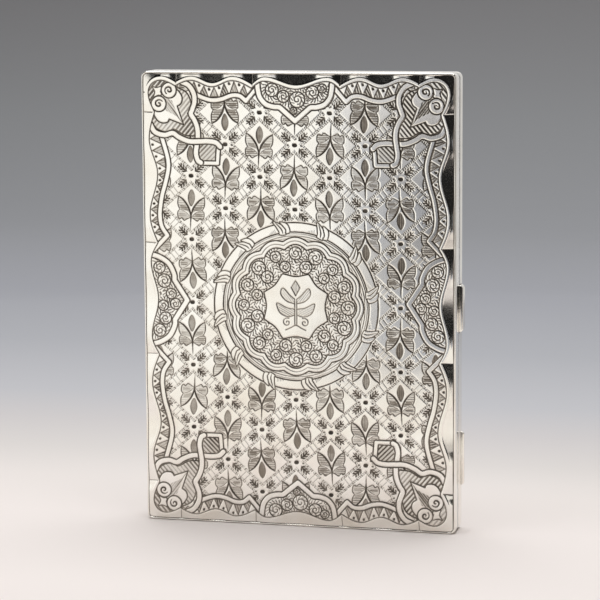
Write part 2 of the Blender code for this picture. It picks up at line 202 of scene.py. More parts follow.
class Plate:
    """A silver face under the graver: a grid of heights and of how dark each point has become.

    x runs across the face and z up it, in mm from its middle. Heights are in mm over the raised field."""

    def __init__(self, step: float) -> None:
        """Lays a clean grid over the face.

        Args:
            step: The grid's spacing, in mm.
        """
        self.margin = 0.3
        nx = int(round((CASE_WIDTH - 2 * self.margin) / step)) + 1
        nz = int(round((CASE_HEIGHT - 2 * self.margin) / step)) + 1
        self.x = np.linspace(-HALF_W + self.margin, HALF_W - self.margin, nx)
        self.z = np.linspace(-HALF_H + self.margin, HALF_H - self.margin, nz)
        self.step = step
        self.cut = np.zeros((nz, nx))
        self.tone = np.zeros((nz, nx))

    def window(self, low: np.ndarray, high: np.ndarray) -> tuple[slice, slice]:
        """The grid's rows and columns between two corners.

        Args:
            low: The corner with the least x and z.
            high: The corner with the greatest.

        Returns:
            The rows and the columns.
        """
        columns = slice(int(np.searchsorted(self.x, low[0])), int(np.searchsorted(self.x, high[0])))
        rows = slice(int(np.searchsorted(self.z, low[1])), int(np.searchsorted(self.z, high[1])))
        return rows, columns

    def along(self, path: np.ndarray, half: np.ndarray | float, reach: float) -> tuple[tuple, np.ndarray]:
        """How far each point near a path is outside a stroke along it.

        For each straight stretch it is the distance to the stretch less the stroke's half width there. The
        least of them counts.

        Args:
            path: The path's points.
            half: Half the stroke's width, or half of it at each point.
            reach: How far from the stroke it is worked out, in mm.

        Returns:
            The window, and the distances in it, below zero inside the stroke.
        """
        halves = np.broadcast_to(np.asarray(half, float), len(path))
        pad = reach + float(halves.max())
        rows, columns = self.window(path.min(0) - pad, path.max(0) + pad)
        out = np.full((rows.stop - rows.start, columns.stop - columns.start), 9.0)
        for a, b, ha, hb in zip(path[:-1], path[1:], halves[:-1], halves[1:]):
            r, c = self.window(np.minimum(a, b) - pad, np.maximum(a, b) + pad)
            x, z = self.x[None, c] - a[0], self.z[r, None] - a[1]
            d = b - a
            t = np.clip((x * d[0] + z * d[1]) / max(d @ d, 1e-9), 0, 1)
            gap = np.hypot(x - t * d[0], z - t * d[1]) - ha - (hb - ha) * t
            here = tuple(slice(near.start - whole.start, near.stop - whole.start)
                         for near, whole in ((r, rows), (c, columns)))
            out[here] = np.minimum(out[here], gap)
        return (rows, columns), out

    def inside(self, outline: np.ndarray) -> tuple[tuple, np.ndarray]:
        """How far each point is outside a closed outline, below zero inside it.

        A point is inside when a line from it towards -x crosses the outline an odd number of times.

        Args:
            outline: The outline's points.

        Returns:
            The window round it, and the distances in it.
        """
        closed = np.concatenate([outline, outline[:1]])
        (rows, columns), gap = self.along(closed, 0.0, 1.0)
        odd = np.zeros(gap.shape, bool)
        for a, b in zip(closed[:-1], closed[1:]):
            if a[1] == b[1]:
                continue
            r = slice(*np.searchsorted(self.z[rows], sorted((a[1], b[1]))))
            cross = a[0] + (self.z[rows][r, None] - a[1]) * (b[0] - a[0]) / (b[1] - a[1])
            odd[r] ^= self.x[None, columns] > cross
        return (rows, columns), np.where(odd, -gap, gap)

    def press(self, window: tuple, share: np.ndarray, depth: float, tone: float) -> None:
        """Cuts a window to a depth and a tone, where share is 1, keeping whatever is deeper or darker."""
        self.cut[window] = np.maximum(self.cut[window], share * depth)
        self.tone[window] = np.maximum(self.tone[window], share * tone)

    def stroke(self, path: np.ndarray, tool: Graver, taper: float = 1.0) -> None:
        """Cuts a V-shaped line along a path.

        Args:
            path: The path's points.
            tool: The graver.
            taper: The width at both ends, as a share of the middle's, where it is widest.
        """
        swell = taper + (1 - taper) * np.sin(np.pi * np.linspace(0, 1, len(path)))
        window, gap = self.along(path, tool.width / 2 * swell, self.step)
        self.press(window, np.clip(0.5 - gap / self.step, 0, 1), tool.depth, tool.tone)

    def clear(self, window: tuple, gap: np.ndarray) -> None:
        """Polishes away what is cut where gap is below zero.

        Args:
            window: The rows and columns.
            gap: The distances in them.
        """
        keep = np.clip(0.5 + gap / self.step, 0, 1)
        self.cut[window] *= keep
        self.tone[window] *= keep

    def strap(self, path: np.ndarray, width: float, tool: Graver = BOLD) -> None:
        """Lays a plain strap along a path, over what is there, with a cut line down each side.

        Args:
            path: The strap's middle line.
            width: Its width, in mm.
            tool: The graver.
        """
        window, gap = self.along(path, width / 2, 3 * self.step + tool.width)
        self.clear(window, gap)
        edge = np.clip(0.5 - (np.abs(gap) - tool.width / 2) / self.step, 0, 1)
        self.press(window, edge, tool.depth, tool.tone)

    def field(self, outline: np.ndarray, tool: Graver | None = BOLD) -> None:
        """Clears the inside of an outline and cuts a line round it.

        Args:
            outline: The outline's points.
            tool: The graver, or None for no line.
        """
        window, gap = self.inside(outline)
        self.clear(window, gap)
        if tool:
            edge = np.clip(0.5 - (np.abs(gap) - tool.width / 2) / self.step, 0, 1)
            self.press(window, edge, tool.depth, tool.tone)

    def hatch(self, outline: np.ndarray, angle: float, pitch: float, tool: Graver, flat: float = 0.0) -> None:
        """Fills an outline with straight cuts.

        Each cut is a raised cosine of the distance from its middle, as strong as a sine of its number says.

        Args:
            outline: The outline's points.
            angle: The cuts' direction from +x, in radians.
            pitch: The distance from cut to cut, in mm.
            tool: The graver.
            flat: An even tone under the cuts.
        """
        window, gap = self.inside(outline)
        x, z = self.x[None, window[1]], self.z[window[0], None]
        across = (z * math.cos(angle) - x * math.sin(angle)) / pitch
        wave = 0.5 + 0.5 * np.cos(2 * np.pi * across)
        vary = 0.72 + 0.28 * np.sin(12.9898 * np.round(across) + outline[0, 0])
        share = np.clip(0.5 - gap / self.step, 0, 1)
        self.press(window, share * np.maximum(wave * vary, flat), tool.depth, tool.tone)


# ---- the design


SHORT_KNOTS = (
    (4.65, 1.15, "crest"),
    (8.1, 2.4, "cusp"),
    (11.8, 1.15, "crest"),
    (16.6, 2.55, "dip"),
    (21.2, 1.15, "crest"),
    (25.7, 2.8, "cusp"),
    (28.6, 1.2, "crest"),
    (HALF_W, 2.9, "dip"),
)
LONG_KNOTS = (
    (4.65, 1.15, "crest"),
    (9.0, 2.6, "cusp"),
    (15.0, 1.25, "crest"),
    (22.8, 3.1, "dip"),
    (32.0, 1.2, "crest"),
    (38.3, 3.0, "cusp"),
    (42.6, 1.3, "crest"),
    (HALF_H, 2.9, "dip"),
)


def lobed(distance: np.ndarray, knots: tuple) -> np.ndarray:
    """How far the raised field's edge stands in from the rim, at distances from the corner.

    Between two knots it follows half a cosine wave, or a quarter of one into or out of a cusp.

    Args:
        distance: Distances from the corner along the side, in mm.
        knots: The edge's knots.

    Returns:
        The inset at each distance.
    """
    inset = np.full(np.shape(distance), knots[-1][1], float)
    for (near, near_inset, near_kind), (far, far_inset, far_kind) in zip(knots, knots[1:]):
        share = np.clip((distance - near) / (far - near), 0, 1)
        if far_kind == "cusp":
            share = 1 - np.cos(np.pi / 2 * share)
        elif near_kind == "cusp":
            share = np.sin(np.pi / 2 * share)
        else:
            share = (1 - np.cos(np.pi * share)) / 2
        here = (distance >= near) & (distance <= far)
        inset = np.where(here, near_inset + (far_inset - near_inset) * share, inset)
    return inset


class Side(Enum):
    """The two kinds of side, and where its strap and teeth run, as (distance from the corner, inset)."""

    SHORT = "short"
    LONG = "long"

    @property
    def knots(self) -> tuple:
        """The lobed edge's knots."""
        return SHORT_KNOTS if self is Side.SHORT else LONG_KNOTS

    @property
    def strap(self) -> list[tuple[float, float]]:
        """The inner strap's middle line."""
        if self is Side.SHORT:
            return [(12.2, 4.7), (14.9, 5.8), (16.8, 6.2), (18.9, 5.9), (21.1, 5.1), (23.0, 5.2), (24.4, 6.3)]
        return [(14.3, 4.8), (17.6, 5.8), (19.8, 6.3), (21.8, 6.3), (24.8, 5.6), (27.5, 4.8), (30.1, 4.35),
                (32.3, 4.2), (34.6, 4.6), (36.6, 5.9)]

    @property
    def strap_end(self) -> tuple[float, float]:
        """Where the strap turns back to, at the end of its band."""
        return (26.8, 3.5) if self is Side.SHORT else (40.2, 2.4)

    @property
    def teeth(self) -> np.ndarray:
        """Where each tooth of the zigzag starts and the last one ends."""
        return np.linspace(11.4, 25.2, 7) if self is Side.SHORT else np.linspace(13.6, 37.4, 10)

    def place(self, points: np.ndarray | list, sx: int, sz: int) -> np.ndarray:
        """Carries (distance, inset) points to the face, for the quarter at side sx and end sz.

        Args:
            points: The points, one row each.
            sx: -1 for the left side, 1 for the right.
            sz: -1 for the foot, 1 for the top.

        Returns:
            The points on the face.
        """
        p = np.asarray(points, float)
        if self is Side.SHORT:
            return np.stack([sx * (HALF_W - p[:, 0]), sz * (HALF_H - p[:, 1])], 1)
        return np.stack([sx * (HALF_W - p[:, 1]), sz * (HALF_H - p[:, 0])], 1)


QUARTERS = ((-1, 1), (1, 1), (-1, -1), (1, -1))
START = 4.65
CORNER_TURN = 3.5


def field_outline(inward: float) -> np.ndarray:
    """The raised field's lobed edge, moved inwards, as a closed line round the face.

    Args:
        inward: How far it is moved, in mm.

    Returns:
        The line's points.
    """
    line = []
    for sx, sz, first in ((1, 1, Side.LONG), (-1, 1, Side.SHORT), (-1, -1, Side.LONG), (1, -1, Side.SHORT)):
        for side, outward in ((first, False), (Side.SHORT if first is Side.LONG else Side.LONG, True)):
            reach = HALF_H if side is Side.LONG else HALF_W
            s = np.linspace(START, reach, 110)[:: 1 if outward else -1]
            line.append(side.place(np.stack([s, lobed(s, side.knots) + inward], 1), sx, sz))
            if not outward:
                turn = np.linspace(0, np.pi / 2, 8)[1:-1]
                radius = CORNER_TURN - inward
                c, d = (np.cos(turn), np.sin(turn)) if first is Side.LONG else (np.sin(turn), np.cos(turn))
                middle = (HALF_W - START, HALF_H - START)
                line.append(np.stack([sx * (middle[0] + radius * c), sz * (middle[1] + radius * d)], 1))
    return np.concatenate(line)


@dataclass
class Diaper:
    """The all-over pattern: a lattice of plaited ribbons, with a winged plant in each lozenge."""

    across: float = 7.96
    up: float = 7.12
    middle: tuple[float, float] = (-0.3, -0.55)
    columns: int = 4
    rows: int = 7
    rail: tuple[float, float] = (0.92, 1.32)

    def at(self, column: int, row: int) -> tuple[float, float]:
        """A lattice point."""
        return self.middle[0] + self.across * column, self.middle[1] + self.up * row

    def engrave(self, plate: Plate) -> None:
        """Cuts the rising ribbons, the falling ribbons over them, then the knots and the plants.

        Args:
            plate: The face.
        """
        rows = range(-self.rows, self.rows + 1)
        points = [(column, row) for column in range(-self.columns, self.columns + 1) for row in rows]
        for fall in (-1, 1):
            for column, row in points:
                if (column + row) % 2:
                    self.ribbon(plate, self.at(column, row), self.at(column + 1, row - fall), fall == 1)
        for column, row in points:
            here = self.at(column, row)
            if (column + row) % 2:
                self.knot(plate, *here)
            else:
                # Each plant was cut by hand: a little turned, a little off its place, and worn its own way.
                waves = ((2.7, 4.1), (5.3, -1.9), (1.7, 2.9))
                turn, shift, worn = (math.sin(f * column + g * row) for f, g in waves)
                self.plant(plate, Place(here[0] + 0.16 * shift, here[1] + 0.14 * turn, 0.05 * turn,
                                        flip_z=1 if (column - row) // 2 % 2 else -1), 0.88 + 0.12 * worn)

    def knot(self, plate: Plate, x: float, z: float) -> None:
        """Cuts the mark where two ribbons cross: a dark seed with a paler one on each side of it.

        Args:
            plate: The face.
            x: The crossing, across the face.
            z: The crossing, up the face.
        """
        seeds = ((-1.55, 0.0, 0.46, 0.55), (1.6, -0.15, 0.46, 0.5), (0.0, 0.0, 0.84, 0.98))
        for dx, dz, width, tone in seeds:
            spot = np.array([(x + dx - width * 0.14, z + dz), (x + dx + width * 0.14, z + dz)])
            window, gap = plate.along(spot, width / 2 + 0.16, 0.3)
            plate.clear(window, gap)
            plate.stroke(spot, Graver(width, 0.09 * tone, tone))

    def ribbon(self, plate: Plate, start: tuple, end: tuple, over: bool) -> None:
        """Cuts one ribbon between two knots: a leaf sprig near each end and a laddered rail down each side.

        Args:
            plate: The face.
            start: The first knot.
            end: The second knot.
            over: Whether it lies over the ribbons that cross it.
        """
        a, b = np.array(start), np.array(end)
        length = float(np.hypot(*(b - a)))
        place = Place(a[0], a[1], math.atan2(*(b - a)[::-1]))
        inner, outer = self.rail
        if over:
            plate.field(place([(0, -outer), (length, -outer), (length, outer), (0, outer)]), None)
        near = 0.7 if over else outer + 0.2
        for side in (-1, 1):
            for offset, tool in ((inner, FAINT), (outer, HAIR)):
                for first, last in ((near, 3.8), (4.5, length - 4.3), (length - 3.7, length - near)):
                    plate.stroke(place([(first, side * offset), (last, side * offset)]), tool)
            for i, s in enumerate(np.arange(near + 0.3, length - near, 0.47)):
                tone = 0.48 + 0.36 * math.sin(2.4 * i + a[0] + side)
                plate.stroke(place([(s, side * inner), (s + 0.14, side * outer)]), Graver(0.2, 0.04, tone))
        for s in (length / 2 - 0.55, length / 2 + 0.5):
            plate.stroke(place([(s, -inner), (s + 0.1, inner)]), HAIR)
        for origin, way in ((0.0, 1), (length, -1)):
            self.sprig(plate, place, origin, way)

    def sprig(self, plate: Plate, place: Place, origin: float, way: int) -> None:
        """Cuts one leaf of five lobes, pointing away from the knot at origin.

        Args:
            plate: The face.
            place: The ribbon's own coordinates.
            origin: How far along it the knot is.
            way: 1 to point along it, -1 to point back.
        """
        vein = [(1.3, 0.12), (2.3, -0.06), (4.0, 0.1)]
        plate.stroke(place([(origin + way * s, t) for s, t in vein]), LEAF, 0.12)
        for root, reach in ((1.5, 0.72), (2.2, 0.8), (2.95, 0.6)):
            for out in (-1, 1):
                lobe = [(origin + way * root, 0.04 * out), (origin + way * (root + 0.42), out * 0.46),
                        (origin + way * (root + reach), out * (0.66 if root < 2.9 else 0.5))]
                plate.stroke(place(lobe), Graver(0.38, 0.08, 0.9), 0.35)

    def plant(self, plate: Plate, place: Place, worn: float) -> None:
        """Cuts one plant: a pointed bud over two pairs of wing-like leaves on a stem.

        Args:
            plate: The face.
            place: Where the plant stands, and how it is turned.
            worn: How much of the shading's darkness is left, from 0 to 1.
        """
        bud = curve([(0, 4.1), (0.66, 3.0), (0.66, 1.7), (0, 0.45), (-0.66, 1.7), (-0.66, 3.0)], True, 5)
        plate.hatch(place(bud), math.pi / 2, 0.44, Graver(0.2, 0.06, 0.95 * worn), 0.62)
        plate.stroke(place(bud), Graver(0.18, 0.04, 0.72))
        plate.stroke(place([(0, -1.0), (0.02, -2.0), (0.0, -3.2)]), Graver(0.36, 0.08, 0.92), 0.5)
        plate.stroke(place([(0, -2.6), (0.0, -3.6), (0.02, -4.9)]), Graver(0.24, 0.05, 0.8), 0.2)
        for side in (-1, 1):
            flank = curve([(3.0, 2.55), (1.85, 1.75), (0.85, 0.5), (0.25, -0.8), (0.02, -2.1)], steps=5)
            rim = curve([(3.0, 2.55), (3.12, 1.5), (3.05, 0.5), (2.62, -0.45)], steps=4)
            upper = np.concatenate([rim, [(1.4, -0.62), (0.35, -1.0)], flank[::-1]]) * (side, 1)
            tail = curve([(2.62, -0.45), (3.08, -1.1), (2.98, -2.2), (2.55, -2.55), (2.1, -2.3),
                          (1.55, -2.85), (0.95, -2.55), (0.1, -2.1)], steps=4)
            seam = curve([(2.62, -0.45), (1.5, -0.85), (0.7, -1.4), (0.1, -2.1)], steps=4)
            lower = np.concatenate([tail, seam[::-1]]) * (side, 1)
            plate.hatch(place(upper), 0.0, 0.52, Graver(0.2, 0.05, 0.72 * worn), 0.2)
            plate.hatch(place(lower), 0.0, 0.46, Graver(0.2, 0.05, 0.78 * worn), 0.22)
            high = [(0.35, -0.75), (1.3, -0.6), (2.45, -0.3), (2.6, 0.55), (1.2, 0.4)]
            low = [(0.8, -1.5), (1.5, -1.15), (2.7, -1.25), (2.75, -1.95), (1.2, -1.9)]
            for band, tone in ((high, 1.0), (low, 0.96)):
                shade = place(np.array(band) * (side, 1))
                plate.hatch(shade, 0.0, 0.44, Graver(0.2, 0.06, tone * worn), 0.45)
            plate.stroke(place(flank * (side, 1)), Graver(0.4, 0.085, 0.97), 0.45)
            plate.stroke(place(rim * (side, 1)), LINE, 0.6)
            plate.stroke(place(tail * (side, 1)), LINE, 0.6)
            plate.stroke(place(seam * (side, 1)), FINE, 0.6)


def leafy_ground(plate: Plate, outline: np.ndarray, coils: list[tuple[float, float, float]]) -> None:
    """Cuts three rows of short leaves round every coil, each a straight cut a little off the radius.

    Args:
        plate: The face.
        outline: The reserve's outline.
        coils: Each coil's middle and radius, in mm.
    """
    low, high = outline.min(0), outline.max(0)
    for i, (cx, cz, radius) in enumerate(coils):
        for row in range(1, 4):
            reach = radius + 0.85 * row - 0.3
            near, far = reach - 0.27, reach + 0.27
            for turn in np.arange(0.0, 2 * math.pi, 0.72 / reach) + 0.7 * row + i:
                lean = turn + (0.4 if (i + row) % 2 else -0.4) / reach
                tick = np.array([(cx + near * math.cos(turn), cz + near * math.sin(turn)),
                                 (cx + far * math.cos(lean), cz + far * math.sin(lean))])
                nearest = min(math.hypot(tick[0, 0] - ox, tick[0, 1] - oz) - size for ox, oz, size in coils)
                if nearest > reach - radius - 0.3 and (tick > low).all() and (tick < high).all():
                    plate.stroke(tick, Graver(0.28, 0.08, 0.95), 0.5)


def coil(plate: Plate, middle: tuple[float, float], radius: float, start: float, way: int) -> None:
    """Cuts one coil, a fern's curl: an outline, a line that winds in by 1.35 turns, and a fan of leaflets.

    Args:
        plate: The face.
        middle: The coil's middle, in mm.
        radius: Its radius, in mm.
        start: The angle at which the curl starts, in radians.
        way: 1 for anticlockwise, -1 for clockwise.
    """
    plate.field(ring(middle, radius, 18), Graver(0.26, 0.08, 1.0))
    cx, cz = middle
    angle = start + way * np.linspace(0, 2 * np.pi * 1.35, 22)
    curl = radius * (0.62 - 0.5 * np.linspace(0, 1, 22) ** 1.2)
    line = np.stack([cx + curl * np.cos(angle), cz + curl * np.sin(angle)], 1)
    plate.stroke(line, Graver(0.24, 0.07, 0.9), 0.5)
    near, far = radius * 0.6, radius * 0.9
    for turn in start + way * np.linspace(0.3, 1.6 * math.pi, max(5, int(radius * 4.6))):
        lean = turn + way * 0.45
        leaflet = np.array([(cx + near * math.cos(lean), cz + near * math.sin(lean)),
                            (cx + far * math.cos(turn), cz + far * math.sin(turn))])
        plate.stroke(leaflet, Graver(0.24, 0.07, 0.95), 0.5)


def scrollwork(plate: Plate, outline: np.ndarray, coils: list[tuple[float, float, float]]) -> None:
    """Fills an outline with small scrolls that turn alternate ways, on a ground of short leaves.

    Args:
        plate: The face.
        outline: The reserve's outline.
        coils: Each coil's middle and radius, in mm.
    """
    plain = plate.cut.copy(), plate.tone.copy()
    leafy_ground(plate, outline, coils)
    for i, (cx, cz, radius) in enumerate(coils):
        coil(plate, (cx, cz), radius, 2.4 * i, -1 if i % 2 else 1)
    # Whatever ran over the outline is put back as it was.
    window, gap = plate.inside(outline)
    share = np.clip(0.5 - gap / plate.step, 0, 1)
    for old, new in zip(plain, (plate.cut, plate.tone)):
        old[window] += share * (new[window] - old[window])
        new[:] = old


@dataclass
class Borders:
    """The band of dog-tooth between the lobed edge and an inner strap, on all eight half sides."""

    strap_width: float = 1.15

    def engrave(self, plate: Plate) -> None:
        """Cuts every half side's band.

        Args:
            plate: The face.
        """
        for sx, sz in QUARTERS:
            for side in Side:
                self.band(plate, side, sx, sz)

    def band(self, plate: Plate, side: Side, sx: int, sz: int) -> None:
        """Cuts one band: hatched teeth that stand on the strap, a dot between each two, then the strap.

        Args:
            plate: The face.
            side: The kind of side.
            sx: -1 for the left, 1 for the right.
            sz: -1 for the foot, 1 for the top.
        """
        middle = curve(side.strap, steps=6)
        ends = side.teeth
        s = np.linspace(ends[0] - 2.4, side.strap_end[0] - 0.4, 60)
        outer = np.stack([s, lobed(s, side.knots) + 0.7], 1)
        plate.field(side.place(np.concatenate([outer, [side.strap_end], middle[::-1]]), sx, sz), None)
        strap = np.interp(ends, middle[:, 0], middle[:, 1]) - self.strap_width / 2 - 0.1
        edge = lobed(ends, side.knots) + 0.75
        tops = (ends[:-1] + ends[1:]) / 2
        for i, top in enumerate(tops):
            peak = float(lobed(np.array([top]), side.knots)[0]) + 0.95
            feet = (ends[i] + 0.22, ends[i + 1] - 0.22)
            tooth = side.place([(feet[0], strap[i]), (top, peak), (feet[1], strap[i + 1])], sx, sz)
            lean = math.atan2(*(tooth[1] - (tooth[0] + tooth[2]) / 2)[::-1])
            plate.hatch(tooth, lean + (0.5 if i % 2 else 0.25), 0.55, Graver(0.22, 0.07, 1.0), 0.28)
            plate.stroke(np.concatenate([tooth, tooth[:1]]), Graver(0.2, 0.05, 0.85))
            dot = side.place([(ends[i], edge[i] + 0.5), (ends[i], edge[i] + 0.62)], sx, sz)
            plate.stroke(dot, Graver(0.5, 0.07, 0.95))
        plate.strap(side.place(np.concatenate([middle, [side.strap_end]]), sx, sz), self.strap_width)


@dataclass
class Corner:
    """A corner reserve: two volutes and a pointed leaf on hatched ground, framed by two straps that cross."""

    strap_width: float = 1.3
    ear: tuple = (
        ((8.6, 3.4), (10.7, 4.5), (11.7, 6.4), (11.75, 8.0), (10.95, 9.2)),
        ((10.95, 9.2), (11.9, 10.3), (12.5, 11.9), (12.7, 13.0), (12.6, 14.2)),
        ((12.6, 14.2), (10.2, 14.0), (8.3, 12.95), (7.6, 12.7)),
        ((7.6, 12.7), (5.8, 13.3), (3.9, 12.7), (2.8, 11.4), (2.5, 10.1), (3.05, 9.2)),
        ((3.05, 9.2), (1.95, 7.6), (1.7, 5.4), (1.95, 3.4), (2.8, 2.3), (4.3, 1.85), (6.1, 1.95),
         (8.6, 3.3)),
    )
    upright: tuple = (
        (9.7, 2.2), (11.3, 3.0), (12.4, 4.7), (12.6, 6.55), (12.05, 8.3), (11.75, 9.35), (12.5, 10.6),
        (13.15, 12.3), (13.3, 14.2), (13.05, 16.1), (12.8, 18.0), (13.2, 19.6), (13.9, 20.1),
    )
    level: tuple = (
        (2.2, 11.6), (3.3, 13.4), (5.5, 14.05), (7.4, 13.6), (8.9, 14.5), (11.1, 15.35), (13.3, 15.4),
        (15.5, 15.3), (17.4, 15.6), (18.4, 16.5),
    )
    hook: tuple = ((18.0, 17.0), (17.75, 20.2), (14.4, 20.2))
    bract: tuple = (
        (2.7, 3.2), (3.7, 3.5), (5.1, 3.2), (4.75, 4.4), (5.3, 5.4), (4.2, 5.2), (3.1, 5.6), (3.4, 4.4),
    )
    leaf: tuple = (
        ((7.4, 3.2), (8.9, 4.2), (9.75, 5.6), (9.5, 6.9), (8.6, 7.6)),
        ((8.6, 7.6), (9.15, 9.2), (10.0, 11.7)),
        ((10.0, 11.7), (8.3, 11.1), (6.7, 10.5)),
        ((6.7, 10.5), (6.2, 11.2), (5.0, 11.35), (3.9, 10.8), (3.1, 9.5), (3.0, 8.3)),
        ((3.0, 8.3), (5.0, 5.0), (7.4, 3.2)),
    )

    def engrave(self, plate: Plate, sx: int, sz: int) -> None:
        """Cuts the corner at side sx and end sz.

        Args:
            plate: The face.
            sx: -1 for the left, 1 for the right.
            sz: -1 for the foot, 1 for the top.
        """
        place = Place(sx * HALF_W, sz * HALF_H, flip_x=-sx, flip_z=-sz)
        ear = place(np.concatenate([curve(list(lobe), steps=6)[:-1] for lobe in self.ear]))
        plate.field(ear, BOLD)
        lean = 1 if sx * sz < 0 else -1
        plate.hatch(ear, math.radians(50 * lean), 0.8, Graver(0.26, 0.08, 0.86), 0.12)
        leaf = place(np.concatenate([curve(list(lobe), steps=5)[:-1] for lobe in self.leaf]))
        plate.field(place(curve(list(self.bract), True, 3)), LINE)
        plate.field(leaf, BOLD)
        shade = [(6.0, 5.7), (7.4, 6.4), (8.1, 8.2), (9.0, 10.2), (7.4, 9.3), (5.9, 8.6), (5.4, 7.0)]
        plate.hatch(place(shade), math.radians(-52 * lean), 0.46, Graver(0.22, 0.06, 0.86), 0.22)
        plate.stroke(place([(6.1, 6.6), (7.9, 8.8), (9.6, 11.2)]), LINE, 0.3)
        for (cx, cz), hand in (((6.65, 4.05), 1), ((4.25, 7.1), -1)):
            plate.field(place(ring((cx, cz), 1.76)), BOLD)
            volute = spiral((cx, cz), 1.0, 1.25, 2.2 if hand > 0 else -0.6, hand)
            plate.stroke(place(volute), Graver(0.36, 0.09, 0.95), 0.4)
        well = place([(13.6, 16.0), (17.6, 16.0), (17.5, 19.7), (13.8, 19.8)])
        plate.field(well, None)
        plate.hatch(well, math.radians(45 * lean), 0.75, Graver(0.24, 0.07, 1.0), 0.2)
        plate.strap(place(np.array(self.hook)), 1.05)
        # The second strap lies over the first: the level one at two corners, the upright one at the others.
        straps = (self.level, self.upright) if sx * sz > 0 else (self.upright, self.level)
        for path in straps:
            plate.strap(place(curve(list(path), steps=6)), self.strap_width)


@dataclass
class Shields:
    """The heart at the middle of each short side and the shield at the middle of each long side."""

    strap_width: float = 1.3
    heart: tuple = (
        ((0, 10.6), (2.9, 8.1)),
        ((2.9, 8.1), (3.6, 7.6), (5.0, 7.5), (6.7, 6.9), (7.9, 5.5), (8.35, 3.9), (8.5, 2.5)),
    )
    shield: tuple = (
        ((0, 10.35), (4.5, 7.4)),
        ((4.5, 7.4), (5.9, 7.3), (8.2, 6.1), (9.6, 4.0), (10.2, 2.0)),
    )
    heart_coils: tuple = (
        (-5.2, 3.8, 1.5), (-2.6, 5.2, 1.35), (0.55, 5.9, 1.75), (4.0, 4.3, 1.45), (6.2, 3.4, 1.0),
        (-0.3, 8.4, 0.8),
    )
    shield_coils: tuple = (
        (-7.3, 3.9, 1.35), (-4.3, 5.0, 1.55), (-1.4, 6.6, 1.2), (0.9, 7.6, 1.25), (1.3, 4.7, 1.2),
        (4.2, 5.2, 1.4), (7.0, 3.8, 1.45),
    )

    def engrave(self, plate: Plate) -> None:
        """Cuts the two hearts and the two shields.

        Args:
            plate: The face.
        """
        for sign in (-1, 1):
            squeeze, shift, drop = (1.0, -0.18, 0.36) if sign > 0 else (0.96, 0.0, -0.15)
            end = Place(shift, sign * HALF_H, flip_z=-sign * squeeze)
            self.reserve(plate, Side.SHORT, self.heart, self.heart_coils, end)
            flank = Place(sign * HALF_W, drop, math.pi / 2, flip_x=-1, flip_z=sign)
            self.reserve(plate, Side.LONG, self.shield, self.shield_coils, flank)

    def reserve(self, plate: Plate, side: Side, half: tuple, coils: tuple, place: Place) -> None:
        """Cuts one reserve.

        Args:
            plate: The face.
            side: Which side it is on, for the lobed edge that closes it.
            half: Half its strap's middle line, as (distance along the side, inset), in two stretches.
            coils: Its scrolls as (distance along the side, inset, radius).
            place: Carries (distance, inset) points to the face.
        """
        right = np.concatenate([np.array(half[0]), curve(list(half[1]), steps=6)[1:]])
        strap = np.concatenate([right[::-1] * (-1, 1), right[1:]])
        width = strap[-1, 0]
        s = np.linspace(width, -width, 60)
        reach = HALF_W if side is Side.SHORT else HALF_H
        edge = np.stack([s, lobed(reach - np.abs(s), side.knots) + 0.7], 1)
        outline = place(np.concatenate([strap, edge]))
        plate.field(outline, None)
        middles = place(np.array([c[:2] for c in coils]))
        scrollwork(plate, outline, [(x, z, c[2]) for (x, z), c in zip(middles, coils)])
        plate.strap(place(strap), self.strap_width)


